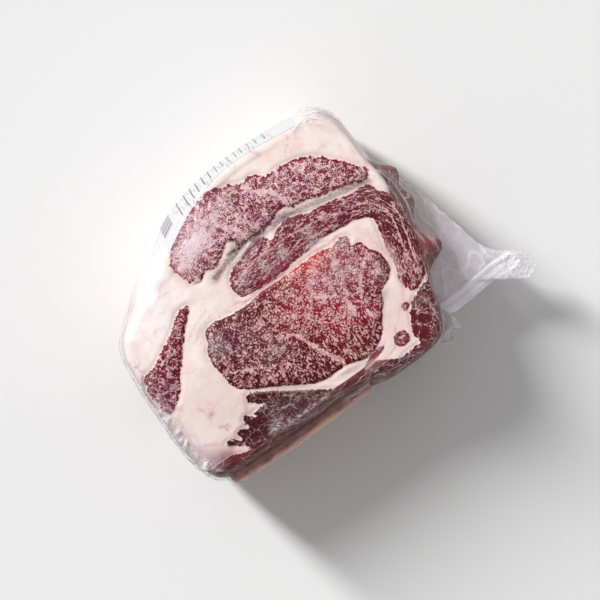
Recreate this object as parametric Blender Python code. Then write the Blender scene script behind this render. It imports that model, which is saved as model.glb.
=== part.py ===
"""A beef rib roast, vacuum-packed in clear film, standing on its lower cut face.

The roast is three ribs thick. Its upper cut face looks up. The ribs run along the front
(-Y), the fat cap with the label is the back (+Y), the flank end is at -X, and the chine
side, where the bag's loose end sticks out, is at +X. The origin is the middle of the
lower cut face, on the surface that the roast stands on.
"""

import math

import bmesh
import bpy
import numpy as np
from mathutils import Vector
from mathutils.geometry import delaunay_2d_cdt

MM = 0.001

# Driving dimensions, in metres
HEIGHT = 0.125          # from the lower cut face to the edge of the upper one
BELLY = 0.055           # height at which the sides stand out furthest
BASE_IN = 0.006         # how far the lower edge lies inside the belly
GAP = 0.0003            # air between pieces that touch
RIB_PITCH = 0.040       # from one rib to the next
RIB_LOW = 0.020         # height of the lowest rib's middle
RIB_BACK = -0.0920      # Y of the ribs' middle line where it stands out furthest
RIB_DEPTH = 0.015       # thickness of a rib, front to back
RIB_TALL = 0.022        # width of a rib at its chine end
RIB_TAPER = 0.82        # width of its flank end, as a share of that
RIB_BOW = 0.0025        # how far its ends lie behind its middle
LABEL_FLANK = -0.052    # X of the label's end at the flank side
LABEL_CHINE = 0.080     # X of its other end
LABEL_LIFT = 0.0004     # label's back over the film
LABEL_THICK = 0.0008    # label with its glue
TAIL_HEIGHT = 0.072     # height at which the bag's loose end leaves the roast
TAIL_DROOP = 0.009      # how far its outer edge hangs below that
TAIL_WAVE = 0.0022      # height of its waves at the outer edge
TAIL_THIN = 0.0012      # thickness at the back
TAIL_THICK = 0.0032     # thickness at the folded front edge

# Fineness of the meshes
AROUND = 144            # points round the roast
UPPER_ROWS = 9          # rows from the belly to the upper edge
LOWER_ROWS = 5          # rows from the lower edge to the belly
FACE_GRID = 11.0        # millimetres between points of the cut face, away from edges
MUSCLE_POINTS = 44      # points along a muscle's edge
CURVE_STEPS = 20        # steps between two anchors of a smooth line
RIB_SIDES = 12
RIB_STEPS = 18
TAIL_ROWS = 36
TAIL_STEPS = 8

# The belly's outline seen from above, anticlockwise, in millimetres: x, y, and how far
# the edge of the upper cut face lies inside it.
BACK_SIDE = (
    (109, 38, 6), (109, 66, 9), (106, 82, 11), (97, 94, 12), (80, 98, 14), (50, 100, 12),
    (15, 100, 12), (-15, 96, 17), (-35, 90, 20), (-53, 80, 20), (-75, 67, 20), (-98, 52, 18),
)
FLANK_END = (
    (-112, 39, 13), (-119, 24, 10), (-121, 5, 9), (-122, -15, 9), (-122, -40, 9),
    (-120, -62, 8), (-117, -76, 7), (-112, -87, 8),
)
RIB_SIDE = (
    (-103, -93, 12), (-90, -95, 13), (-60, -95, 12), (-30, -95, 13), (0, -95, 13),
    (16, -97, 13), (32, -100, 12), (50, -100, 7), (68, -98, 6),
)
CHINE_SIDE = (
    (81, -92, 6), (89, -79, 6), (93, -64, 5), (97, -52, 5), (103, -36, 5), (107, -18, 5),
    (109, 0, 5), (109, 19, 5),
)

# Swellings of the sides in millimetres: x, y and z of the middle, how far it stands out
# (a hollow where negative), and its spread along the side and up and down. The first
# three are the lobes of meat at the chine side.
SWELLINGS = (
    (113, 22, 86, 14, 10, 26), (111, -1, 80, 12, 10, 30), (106, -37, 84, 14, 11, 26),
    (112, 46, 30, 5, 16, 20), (110, 6, 26, 6, 18, 18), (104, -40, 30, 8, 14, 18),
    (92, 96, 40, 2, 20, 24), (-74, 67, 40, 3, 22, 26), (-104, 49, 78, -2, 16, 24),
    (-121, -12, 36, 2, 18, 22), (-120, 18, 70, -1, 12, 26), (-119, -56, 84, 2, 16, 20),
    (36, -100, 40, 2, 18, 18), (78, -94, 86, 2, 12, 20),
)

# Each rib's flank end, chine end and how far it sags below its level, in millimetres
RIB_ENDS = ((-106, 20, 1.5), (-105, 22, -1.0), (-104, 18, 0.0))

# Muscles that stand a little proud on the cut face: outline in millimetres, and rise
MUSCLES = (
    # the eye
    (((-66, -18), (-52, 6), (-20, 5), (20, 6), (60, 3), (75, -24), (58, -50), (20, -77),
      (-20, -66), (-58, -42)), 2.4),
    # the cap that bends round the eye
    (((-24, 18), (0, 33), (40, 36), (80, 27), (102, 15), (104, -20), (92, -46), (79, -50),
      (80, -22), (83, 3), (50, 11), (0, 8)), 1.8),
    # the lifter muscle under the fat cap
    (((-49, 46), (-30, 37), (20, 41), (60, 39), (97, 28), (84, 54), (45, 71), (0, 78),
      (-38, 67)), 2.0),
    # the lip at the flank end
    (((-56, 27), (-85, 15), (-111, -2), (-108, -19), (-84, -5), (-68, 14)), 1.6),
    # the thin muscles between the ribs
    (((-60, -50), (-38, -58), (-15, -76), (-60, -81), (-92, -74), (-70, -61)), -1.8),
)
MUSCLE_SHOULDER = 7.0   # millimetres over which a muscle's edge rounds off

# The bag's loose end seen from above, in millimetres: its outer edge from the back to the
# front, and the line inside the roast's side that it leaves from.
TAIL_EDGE = (
    (113, 36), (122, 18), (130, -8), (136, -34), (141, -56), (150, -69), (161, -76),
    (168, -86), (166, -95), (157, -98), (149, -94), (139, -85), (118, -86), (98, -87),
)
TAIL_ROOT = (
    (104, 28), (102, 6), (100, -18), (95, -42), (87, -62), (84, -74), (80, -80),
)


def smooth_line(anchors, closed, count):
    """Evenly spaced points on the Catmull-Rom curve through the anchors."""
    points = np.array(anchors, dtype=float)
    spans = len(points) if closed else len(points) - 1
    fine = []
    for i in range(spans):
        picks = [i - 1, i, i + 1, i + 2]
        if closed:
            picks = [k % len(points) for k in picks]
        else:
            picks = [min(max(k, 0), len(points) - 1) for k in picks]
        a, b, c, d = points[picks]
        for t in np.arange(CURVE_STEPS) / CURVE_STEPS:
            fine.append(0.5 * (2 * b + (c - a) * t + (2 * a - 5 * b + 4 * c - d) * t**2
                               + (3 * b - a - 3 * c + d) * t**3))
    fine.append(points[0] if closed else points[-1])
    fine = np.array(fine)
    steps = np.linalg.norm(np.diff(fine[:, :2], axis=0), axis=1)
    along = np.concatenate(([0.0], np.cumsum(steps)))
    wanted = np.linspace(0.0, along[-1], count, endpoint=not closed)
    return np.column_stack([np.interp(wanted, along, column) for column in fine.T])


def depth_inside(outline, x, y):
    """Distance in millimetres from (x, y) to a closed outline, negative outside it."""
    nearest = math.inf
    inside = False
    for (ax, ay), (bx, by) in zip(outline, np.roll(outline, -1, axis=0)):
        run, rise = bx - ax, by - ay
        t = ((x - ax) * run + (y - ay) * rise) / (run * run + rise * rise)
        t = min(max(t, 0.0), 1.0)
        nearest = min(nearest, math.hypot(x - ax - t * run, y - ay - t * rise))
        if (ay > y) != (by > y) and x < ax + run * (y - ay) / rise:
            inside = not inside
    return nearest if inside else -nearest


def relief(x, y, outlines):
    """Height in millimetres of the cut face at (x, y) over its edge."""
    height = 0.0
    for outline, rise in outlines:
        depth = depth_inside(outline, x, y)
        if depth > 0.0:
            height += rise * math.sqrt(1.0 - max(0.0, 1.0 - depth / MUSCLE_SHOULDER) ** 2)
    return height


def cut_face(rim):
    """Points of the upper cut face in millimetres, the rim first, and its triangles."""
    points = [tuple(p) for p in rim]
    outlines = []
    for anchors, rise in MUSCLES:
        edge = smooth_line(anchors, True, MUSCLE_POINTS)
        outlines.append((edge, rise))
        along = np.roll(edge, -1, axis=0) - np.roll(edge, 1, axis=0)
        across = np.column_stack((-along[:, 1], along[:, 0]))
        across /= np.linalg.norm(across, axis=1)[:, None]
        x, y = (edge + across)[0]
        inward = 1.0 if depth_inside(edge, x, y) > 0.0 else -1.0
        shoulder = edge + across * inward * 0.5 * MUSCLE_SHOULDER
        points += [tuple(p) for p in np.vstack((edge, shoulder[::2]))
                   if depth_inside(rim, *p) > 0.3 * FACE_GRID]
    low, high = rim.min(axis=0), rim.max(axis=0)
    for i, y in enumerate(np.arange(low[1], high[1], FACE_GRID)):
        for x in np.arange(low[0] + 0.5 * FACE_GRID * (i % 2), high[0], FACE_GRID):
            room = min(math.hypot(x - px, y - py) for px, py in points)
            if room > 0.45 * FACE_GRID and depth_inside(rim, x, y) > 0.0:
                points.append((x, y))

    found = delaunay_2d_cdt([Vector(p) for p in points], [], [list(range(len(rim)))], 1, 0.01)
    source = [first[0] for first in found[3]]
    triangles = [[source[k] for k in face] for face in found[2]]
    heights = [relief(x, y, outlines) for x, y in points]
    return np.column_stack((points, heights)), triangles


def mesh_from(name, verts, faces):
    """A mesh in metres with its faces pointing out."""
    mesh = bpy.data.meshes.new(name)
    mesh.from_pydata([tuple(v) for v in verts], [], faces)
    bm = bmesh.new()
    bm.from_mesh(mesh)
    bmesh.ops.recalc_face_normals(bm, faces=bm.faces)
    bm.to_mesh(mesh)
    bm.free()
    mesh.shade_smooth()
    return mesh


def add_object(name, mesh, material=None):
    """Put a mesh into the scene as an object of the same name."""
    obj = bpy.data.objects.new(name, mesh)
    bpy.context.collection.objects.link(obj)
    if material:
        mesh.materials.append(material)
    return obj


def make_material(name, colour, roughness):
    """A plain finish for one sub-part."""
    material = bpy.data.materials.new(name)
    material.use_nodes = True
    shader = material.node_tree.nodes["Principled BSDF"]
    shader.inputs["Base Color"].default_value = (*colour, 1.0)
    shader.inputs["Roughness"].default_value = roughness
    shader.inputs["Metallic"].default_value = 0.0
    material.diffuse_color = (*colour, 1.0)
    return material


def side_rows(grow=0.0):
    """Rows of the roast's side from its lower to its upper edge, each AROUND points."""
    line = smooth_line(BACK_SIDE + FLANK_END + RIB_SIDE + CHINE_SIDE, True, AROUND)
    belly = line[:, :2] * MM
    top_in = line[:, 2] * MM
    tangent = np.roll(belly, -1, axis=0) - np.roll(belly, 1, axis=0)
    tangent /= np.linalg.norm(tangent, axis=1)[:, None]
    outward = np.column_stack((tangent[:, 1], -tangent[:, 0]))

    steps = []
    for i in range(LOWER_ROWS):
        turn = 0.5 * math.pi * (1.0 - i / LOWER_ROWS)
        level = BELLY * (1.0 - math.sin(turn))
        steps.append((level, np.full(AROUND, BASE_IN * (1.0 - math.cos(turn)))))
    for i in range(UPPER_ROWS + 1):
        turn = 0.5 * math.pi * i / UPPER_ROWS
        steps.append((BELLY + (HEIGHT - BELLY) * math.sin(turn), top_in * (1.0 - math.cos(turn))))

    rows = []
    for level, inset in steps:
        out = grow - inset
        for x, y, z, stand, along, tall in SWELLINGS:
            away = np.linalg.norm(belly - np.array((x, y)) * MM, axis=1) / (along * MM)
            up = (level - z * MM) / (tall * MM)
            out = out + stand * MM * np.exp(-away**2 - up**2)
        plan = belly + outward * out[:, None]
        rows.append(np.column_stack((plan, np.full(AROUND, level))))
    return rows


def roast_mesh(name, grow=0.0):
    """The closed solid of the packed roast, flat below, with muscles proud on top."""
    rows = side_rows(grow)
    faces = [list(range(AROUND))]
    for i in range(len(rows) - 1):
        for j in range(AROUND):
            a, b = i * AROUND + j, i * AROUND + (j + 1) % AROUND
            faces.append((a, b, b + AROUND, a + AROUND))
    last = (len(rows) - 1) * AROUND
    points, triangles = cut_face(rows[-1][:, :2] / MM)
    face = points[AROUND:] * MM + np.array((0.0, 0.0, HEIGHT))
    faces += [[last + k for k in triangle] for triangle in triangles]
    return mesh_from(name, np.vstack(rows + [face]), faces)


def rib_mesh(name, ends, level, grow):
    """One rib, an oval bar with rounded ends that bows out a little in its middle."""
    flank, chine, sag = (value * MM for value in ends)
    half = 0.5 * (chine - flank)
    verts = []
    for i in range(1, RIB_STEPS):
        turn = math.pi * i / RIB_STEPS
        t = -math.cos(turn)
        x = flank + half * (1.0 + t) + grow * t
        full = min(1.0, 3.0 * math.sin(turn)) ** 0.6
        taper = 0.5 * (1.0 + RIB_TAPER) + 0.5 * (1.0 - RIB_TAPER) * t
        tall = 0.5 * RIB_TALL * taper * full + grow
        deep = 0.5 * RIB_DEPTH * full + grow
        y = RIB_BACK + RIB_BOW * t * t
        z = level - sag * (1.0 - t * t)
        for k in range(RIB_SIDES):
            side = 2.0 * math.pi * k / RIB_SIDES
            verts.append((x, y + deep * math.cos(side), z + tall * math.sin(side)))
    faces = [list(range(RIB_SIDES)), list(range(len(verts) - RIB_SIDES, len(verts)))]
    for i in range(RIB_STEPS - 2):
        for k in range(RIB_SIDES):
            a, b = i * RIB_SIDES + k, i * RIB_SIDES + (k + 1) % RIB_SIDES
            faces.append((a, b, b + RIB_SIDES, a + RIB_SIDES))
    return mesh_from(name, verts, faces)


def plate_mesh(name, inner, outer):
    """A closed thin plate between two matching grids of points."""
    rows, columns = inner.shape[:2]
    count = rows * columns
    verts = np.vstack((inner.reshape(-1, 3), outer.reshape(-1, 3)))
    faces = []
    for i in range(rows - 1):
        for j in range(columns - 1):
            a = i * columns + j
            quad = (a, a + 1, a + columns + 1, a + columns)
            faces.append(quad)
            faces.append([count + k for k in reversed(quad)])
    edge = list(range(columns))
    edge += [i * columns + columns - 1 for i in range(1, rows)]
    edge += [(rows - 1) * columns + j for j in range(columns - 2, -1, -1)]
    edge += [i * columns for i in range(rows - 2, 0, -1)]
    for a, b in zip(edge, edge[1:] + edge[:1]):
        faces.append((a, count + a, count + b, b))
    return mesh_from(name, verts, faces)


def label_mesh(name):
    """The label on the back, up to its upper edge: the side's own grid, lifted off it."""
    rows = np.array(side_rows())
    x, y = rows[LOWER_ROWS, :, 0], rows[LOWER_ROWS, :, 1]
    back = np.flatnonzero((y > 0.0) & (x > LABEL_FLANK) & (x < LABEL_CHINE))
    grid = rows[LOWER_ROWS - 2:-1]
    slope = np.roll(grid, -1, axis=1) - np.roll(grid, 1, axis=1)
    rise = np.gradient(grid, axis=0)
    normal = np.cross(slope, rise)
    normal /= np.linalg.norm(normal, axis=2)[:, :, None]
    inner = (grid + normal * LABEL_LIFT)[:, back]
    outer = (grid + normal * (LABEL_LIFT + LABEL_THICK))[:, back]
    return plate_mesh(name, inner, outer)


def tail_mesh(name):
    """The bag's loose end: a waved sheet of film, thicker along its folded front edge."""
    edge = smooth_line(TAIL_EDGE, False, TAIL_ROWS)
    root = smooth_line(TAIL_ROOT, False, TAIL_ROWS)
    middle = np.zeros((TAIL_ROWS, TAIL_STEPS + 1, 3))
    half = np.zeros_like(middle)
    for i in range(TAIL_ROWS):
        v = i / (TAIL_ROWS - 1)
        for j in range(TAIL_STEPS + 1):
            u = j / TAIL_STEPS
            x, y = root[i] + (edge[i] - root[i]) * u
            wave = u * math.sin(0.11 * y + 0.05 * x) + 0.5 * math.sin(0.21 * x)
            z = TAIL_HEIGHT + TAIL_WAVE * wave - TAIL_DROOP * u * u
            middle[i, j] = (x * MM, y * MM, z)
            half[i, j, 2] = 0.5 * (TAIL_THIN + (TAIL_THICK - TAIL_THIN) * v)
    return plate_mesh(name, middle - half, middle + half)


def cut_away(obj, cutter):
    """Take the cutter's volume out of the object."""
    cutter.hide_render = True
    cutter.display_type = "WIRE"
    cut = obj.modifiers.new(cutter.name, "BOOLEAN")
    cut.operation = "DIFFERENCE"
    cut.solver = "EXACT"
    cut.object = cutter


def main():
    """Build every piece of the packed roast."""
    for obj in list(bpy.data.objects):
        bpy.data.objects.remove(obj, do_unlink=True)
    meat = make_material("marbled_beef", (0.30, 0.07, 0.08), 0.35)
    bone = make_material("rib_bone", (0.62, 0.40, 0.28), 0.45)
    film = make_material("clear_film", (0.72, 0.70, 0.72), 0.15)
    paper = make_material("label_paper", (0.92, 0.92, 0.93), 0.40)

    roast = add_object("roast", roast_mesh("roast"), meat)
    for i, ends in enumerate(RIB_ENDS):
        level = RIB_LOW + RIB_PITCH * i
        name = f"rib_{i + 1}"
        add_object(name, rib_mesh(name, ends, level, 0.0), bone)
        bed = f"{name}_bed"
        cut_away(roast, add_object(bed, rib_mesh(bed, ends, level, GAP)))

    add_object("label", label_mesh("label"), paper)

    tail = add_object("bag_tail", tail_mesh("bag_tail"), film)
    side = add_object("roast_side", roast_mesh("roast_side", 2.0 * GAP))
    cut_away(tail, side)


main()
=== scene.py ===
"""Looks of a vacuum-packed beef rib roast: marbled meat, rib bones, clear film and label.

The roast stands on its lower cut face and the upper one looks up. The muscles of that face
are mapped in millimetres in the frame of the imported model: +X is the chine side, where the
bag's loose end lies, -X the flank end, +Y the fat cap with the label and -Y the ribs.
"""

import logging
import math
from collections.abc import Mapping, Sequence
from dataclasses import dataclass, field
from enum import Enum
from typing import Any

import bmesh
import bpy
import numpy as np
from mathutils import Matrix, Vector, noise
from mathutils.bvhtree import BVHTree


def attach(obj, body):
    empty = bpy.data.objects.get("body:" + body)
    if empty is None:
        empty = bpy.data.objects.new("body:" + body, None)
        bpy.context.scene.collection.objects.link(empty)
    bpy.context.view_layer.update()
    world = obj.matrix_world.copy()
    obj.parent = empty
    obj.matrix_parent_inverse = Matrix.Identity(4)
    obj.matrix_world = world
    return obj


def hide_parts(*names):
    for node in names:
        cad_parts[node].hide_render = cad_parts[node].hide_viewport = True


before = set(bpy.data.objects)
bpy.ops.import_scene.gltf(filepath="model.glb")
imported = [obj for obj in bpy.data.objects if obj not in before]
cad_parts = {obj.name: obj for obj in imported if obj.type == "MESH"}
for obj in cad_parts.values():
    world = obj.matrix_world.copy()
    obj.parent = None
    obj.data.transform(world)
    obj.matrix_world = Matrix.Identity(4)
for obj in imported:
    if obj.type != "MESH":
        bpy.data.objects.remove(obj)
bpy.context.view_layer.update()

LOG = logging.getLogger("rib_roast")
MM = 0.001                          # metres in a millimetre
BODY = "root"
FINE_ABOVE = 0.09                   # height in metres from which faces are halved
CUT_LEVEL = 125.0                   # height of the upper cut face, in millimetres

# Sockets that Blender names more than once in a node, so that they go by number
LOW, HIGH, TO_LOW, TO_HIGH = 1, 2, 3, 4     # of a map range
SHADE_A, SHADE_B, SHADE_OUT = 6, 7, 2       # of a mix of colours

Point = tuple[float, float]
Outline = tuple[Point, ...]


# ------------------------------------------------------------------ small helpers


def linear(colour: str) -> tuple[float, float, float, float]:
    """Turns an sRGB hex colour into linear RGBA.

    Args:
        colour: Six hex digits, such as "F4E3E0".

    Returns:
        The linear colour with an alpha of 1.
    """
    shares = [int(colour[i:i + 2], 16) / 255 for i in (0, 2, 4)]
    lit = [s / 12.92 if s <= 0.04045 else ((s + 0.055) / 1.055) ** 2.4 for s in shares]
    return (lit[0], lit[1], lit[2], 1.0)


def ramp(value: np.ndarray, low: float, high: float) -> np.ndarray:
    """Smooth step from 0 at low to 1 at high, or falling where high is the smaller.

    Args:
        value: What is measured, mostly a coordinate in millimetres.
        low: Where the step begins, in the same unit.
        high: Where it is complete.

    Returns:
        A share from 0 to 1 for each value.
    """
    t = np.clip((value - low) / (high - low), 0.0, 1.0)
    return t * t * (3.0 - 2.0 * t)


def curve_through(anchors: Outline, closed: bool, spacing: float = 1.6) -> np.ndarray:
    """Points on the Catmull-Rom curve through the anchors.

    Args:
        anchors: The points that the curve passes through, in millimetres.
        closed: Whether the last anchor joins the first.
        spacing: About how far apart the points are, in millimetres.

    Returns:
        The points as rows of x and y.
    """
    points = np.array(anchors, dtype=float)
    count = len(points)
    found = []
    for i in range(count if closed else count - 1):
        picks = [(k % count) if closed else min(max(k, 0), count - 1) for k in range(i - 1, i + 3)]
        a, b, c, d = points[picks]
        steps = max(2, round(float(np.linalg.norm(c - b)) / spacing))
        for t in np.arange(steps) / steps:
            found.append(0.5 * (2 * b + (c - a) * t + (2 * a - 5 * b + 4 * c - d) * t**2
                                + (3 * b - a - 3 * c + d) * t**3))
    if not closed:
        found.append(points[-1])
    return np.array(found)


def ellipse(x: float, y: float, half_x: float, half_y: float, turn: float = 0.0) -> Outline:
    """A closed oval outline of twelve anchors round (x, y), turned by degrees."""
    c, s = math.cos(math.radians(turn)), math.sin(math.radians(turn))
    ring = [(half_x * math.cos(t), half_y * math.sin(t)) for t in np.arange(12) * math.tau / 12]
    return tuple((x + c * u - s * v, y + s * u + c * v) for u, v in ring)


def along_line(places: np.ndarray, line: np.ndarray) -> tuple[np.ndarray, np.ndarray]:
    """Finds where each place lies along and beside an open line.

    Args:
        places: Rows of x and y.
        line: The line's points, as rows of x and y.

    Returns:
        How far along the line its nearest point is, and the signed distance to it, positive
        on the line's left.
    """
    best = np.full(len(places), np.inf)
    along = np.zeros(len(places))
    side = np.ones(len(places))
    run = 0.0
    for a, b in zip(line[:-1], line[1:]):
        d = b - a
        length = float(np.linalg.norm(d))
        rel = places - a
        t = np.clip(rel @ d / length**2, 0.0, 1.0)
        apart = np.hypot(rel[:, 0] - t * d[0], rel[:, 1] - t * d[1])
        nearer = apart < best
        best = np.where(nearer, apart, best)
        along = np.where(nearer, run + t * length, along)
        side = np.where(nearer, np.sign(d[0] * rel[:, 1] - d[1] * rel[:, 0]), side)
        run += length
    return along, best * side


def depth_inside(places: np.ndarray, outline: np.ndarray) -> np.ndarray:
    """Distance from each place to a closed outline, negative outside it.

    Args:
        places: X and Y of each place, in millimetres.
        outline: The outline's points.

    Returns:
        The distances, in millimetres.
    """
    x, y = places[:, 0], places[:, 1]
    nearest = np.full(len(places), np.inf)
    inside = np.zeros(len(places), dtype=bool)
    for (ax, ay), (bx, by) in zip(outline, np.roll(outline, -1, axis=0)):
        dx, dy = bx - ax, by - ay
        t = np.clip(((x - ax) * dx + (y - ay) * dy) / (dx * dx + dy * dy), 0.0, 1.0)
        np.minimum(nearest, (x - ax - t * dx) ** 2 + (y - ay - t * dy) ** 2, out=nearest)
        if ay != by:
            inside ^= ((ay > y) != (by > y)) & (x < ax + (y - ay) * dx / dy)
    return np.where(inside, 1.0, -1.0) * np.sqrt(nearest)


def wander(places: np.ndarray, size: float, seed: float) -> np.ndarray:
    """Smooth noise from about -1 to 1, with bumps of the given size, at rows of x, y and z."""
    shifted = places / size + np.array((seed * 7.31, seed * 3.17, seed * 5.77))
    return np.array([noise.noise(p) for p in shifted.tolist()])


def creases(places: np.ndarray, size: float, seed: float, sharp: float = 5.0) -> np.ndarray:
    """Thin winding ridges from 0 to 1, about the given size apart."""
    return np.clip(1.0 - np.abs(wander(places, size, seed)) * 2.2, 0.0, 1.0) ** sharp


class Graph:
    """The node tree of one material, with the means to add nodes to it."""

    def __init__(self, name: str) -> None:
        """Makes an empty material.

        Args:
            name: The material's name.
        """
        self.material = bpy.data.materials.new(name)
        self.material.use_nodes = True
        self.tree = self.material.node_tree
        self.tree.nodes.clear()

    def add(self, kind: str, inputs: Mapping[str | int, Any] | None = None,
            out: str | int = 0, **settings: Any) -> bpy.types.NodeSocket:
        """Adds a node with its settings, values and links.

        Args:
            kind: The node's type, without "ShaderNode".
            inputs: For an input's name or number, its value or the socket linked to it.
            out: Which output is wanted.
            **settings: The node's own properties.

        Returns:
            The wanted output.
        """
        made = self.tree.nodes.new("ShaderNode" + kind)
        for name, value in settings.items():
            setattr(made, name, value)
        for name, value in (inputs or {}).items():
            if isinstance(value, bpy.types.NodeSocket):
                self.tree.links.new(value, made.inputs[name])
            else:
                made.inputs[name].default_value = value
        return made.outputs[out] if len(made.outputs) else None

    def finish(self, surface: bpy.types.NodeSocket) -> bpy.types.Material:
        """Links the surface shader to the output and gives back the material."""
        self.add("OutputMaterial", {"Surface": surface})
        return self.material


def mesh_object(name: str, vertices: np.ndarray, faces: Sequence[Sequence[int]]) -> bpy.types.Object:
    """Makes a smooth-shaded mesh object from vertices in metres.

    Args:
        name: The object's name.
        vertices: Their places, in metres.
        faces: For each face, the numbers of its vertices.

    Returns:
        The new object.
    """
    mesh = bpy.data.meshes.new(name)
    mesh.from_pydata(vertices.tolist(), [], [list(f) for f in faces])
    mesh.validate()
    mesh.shade_smooth()
    made = bpy.data.objects.new(name, mesh)
    bpy.context.scene.collection.objects.link(made)
    return made


def joined_copy(sources: Sequence[bpy.types.Object], name: str) -> bpy.types.Object:
    """Makes one new object from copies of the sources' meshes.

    Args:
        sources: The objects to copy.
        name: The new object's name.

    Returns:
        The new object.
    """
    shell = bmesh.new()
    for source in sources:
        shell.from_mesh(source.data)
    mesh = bpy.data.meshes.new(name)
    shell.to_mesh(mesh)
    shell.free()
    made = bpy.data.objects.new(name, mesh)
    bpy.context.scene.collection.objects.link(made)
    return made


def reskinned(sources: Sequence[bpy.types.Object], name: str, voxel: float,
              smoothing: int) -> bpy.types.Object:
    """Makes an even, closed skin round copies of the sources.

    Args:
        sources: The objects to wrap.
        name: The new object's name.
        voxel: The size of its faces, in metres.
        smoothing: How many times the skin is evened out.

    Returns:
        The new object, with its modifiers applied.
    """
    made = joined_copy(sources, name)
    skin = made.modifiers.new("skin", "REMESH")
    skin.mode = "VOXEL"
    skin.voxel_size = voxel
    if smoothing:
        even = made.modifiers.new("even", "SMOOTH")
        even.iterations = smoothing
    graph = bpy.context.evaluated_depsgraph_get()
    mesh = bpy.data.meshes.new_from_object(made.evaluated_get(graph))
    made.modifiers.clear()
    made.data = mesh
    mesh.materials.clear()
    mesh.shade_smooth()
    return made


@dataclass(frozen=True)
class Lobe:
    """A lobe of meat at the chine side: its middle, its half sizes and its push, in mm."""

    y: float
    z: float
    half_y: float
    half_z: float
    push: Point


LOBES = (Lobe(17.0, 86.0, 14.0, 22.0, (2.6, 0.8)), Lobe(-39.0, 84.0, 24.0, 24.0, (4.2, -0.6)))


def swollen(places: np.ndarray) -> np.ndarray:
    """Stands the lobes of meat at the chine side out as far as they bulge in the bag.

    Args:
        places: Rows of x, y and z in millimetres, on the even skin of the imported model.

    Returns:
        The moved places.
    """
    out = places.copy()
    for lobe in LOBES:
        beside = (places[:, 1] - lobe.y) / lobe.half_y
        above = (places[:, 2] - lobe.z) / lobe.half_z
        near = np.exp(-beside**2 - above**2) * ramp(places[:, 0], 92.0, 110.0)
        out[:, 0] += near * lobe.push[0]
        out[:, 1] += near * lobe.push[1]
    return out


def refined(piece: bpy.types.Object, level: float) -> None:
    """Halves the faces of a piece that lie above a level and look upwards.

    Args:
        piece: The mesh, changed in place.
        level: The height, in metres.
    """
    shell = bmesh.new()
    shell.from_mesh(piece.data)
    chosen = [f for f in shell.faces if f.calc_center_median().z > level and f.normal.z > 0.3]
    edges = list({e for f in chosen for e in f.edges})
    bmesh.ops.subdivide_edges(shell, edges=edges, cuts=1, use_grid_fill=True, smooth=0.0)
    shell.to_mesh(piece.data)
    shell.free()
    piece.data.shade_smooth()


def vertices_of(piece: bpy.types.Object) -> tuple[np.ndarray, np.ndarray]:
    """The places and the normals of a mesh's vertices.

    Args:
        piece: The mesh.

    Returns:
        The places, in millimetres, and the normals.
    """
    count = len(piece.data.vertices)
    places = np.empty(count * 3)
    normals = np.empty(count * 3)
    piece.data.vertices.foreach_get("co", places)
    piece.data.vertex_normals.foreach_get("vector", normals)
    return places.reshape(-1, 3) / MM, normals.reshape(-1, 3)


def place_vertices(piece: bpy.types.Object, places: np.ndarray) -> None:
    """Moves a mesh's vertices to the places, in millimetres."""
    piece.data.vertices.foreach_set("co", (places * MM).ravel())
    piece.data.update()


def store(piece: bpy.types.Object, name: str, values: np.ndarray) -> None:
    """Keeps a value, vector or colour for each vertex, which the material reads by name.

    Args:
        piece: The mesh that carries it.
        name: The name that the material asks for.
        values: One row or number for each vertex.
    """
    kinds = {1: ("FLOAT", "value"), 3: ("FLOAT_VECTOR", "vector"), 4: ("FLOAT_COLOR", "color")}
    width = 1 if values.ndim == 1 else values.shape[1]
    kind, slot = kinds[width]
    layer = piece.data.attributes.new(name, kind, "POINT")
    layer.data.foreach_set(slot, np.ascontiguousarray(values, dtype=np.float32).ravel())


# ------------------------------------------------------------------ anatomy of the cut


class Grain(Enum):
    """How a muscle's fibres lie in the cut face."""

    ROUND = "cut straight across"
    EYE = "cut across, and slanting towards the ribs"
    BENT = "bending along the cap"


@dataclass(frozen=True)
class Muscle:
    """A muscle of the cut face: its outline in millimetres and how it is marbled."""

    name: str
    tone: str               # colour of its darkest lean
    vein: str               # colour of its finest veins
    inner: str              # colour of the fat that lies within curls of lean
    fat: float              # more fat where above 0, more lean where below
    curly: float            # 0 for veins that form a net, 1 for lean in curly strokes
    bundles: float          # how wide the veins between its bundles of fibres are, 0 to 1
    ragged: float           # how far its edge is toothed, in millimetres
    outline: Outline
    grain: Grain = Grain.ROUND


@dataclass(frozen=True)
class Zone:
    """A soft oval within the cut where the meat differs from what is round it."""

    x: float
    y: float
    half_x: float
    half_y: float
    turn: float = 0.0       # degrees
    tone: str = ""          # colour of the lean there, if it differs
    inner: str = ""         # colour of the fat within curls, if it differs
    fat: float = 0.0        # added to the marbling
    curly: float = 0.0      # added to the curliness
    mist_and_glare: float = 0.0       # how milky the film over it is, in places painted glare

    def weight(self, places: np.ndarray) -> np.ndarray:
        """How strongly each place belongs to the zone.

        Args:
            places: X and Y of each place, in millimetres.

        Returns:
            A share for each place.
        """
        c, s = math.cos(math.radians(self.turn)), math.sin(math.radians(self.turn))
        dx, dy = places[:, 0] - self.x, places[:, 1] - self.y
        far = ((c * dx + s * dy) / self.half_x) ** 2 + ((c * dy - s * dx) / self.half_y) ** 2
        return np.exp(-far)


@dataclass(frozen=True)
class Streak:
    """A line over the cut: a vein, a membrane, painted shade in a slit, or a glint of the film above it,
    painted as milk.
    """

    line: Outline
    width: float            # half its width, in millimetres
    strength: float = 0.5
    tone: str = ""          # its colour, for what is painted over meat and fat

    def weight(self, places: np.ndarray) -> np.ndarray:
        """How strongly each place belongs to the line, up to its strength."""
        _, beside = along_line(places, curve_through(self.line, False))
        return self.strength * np.exp(-(beside / self.width) ** 2)


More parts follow.
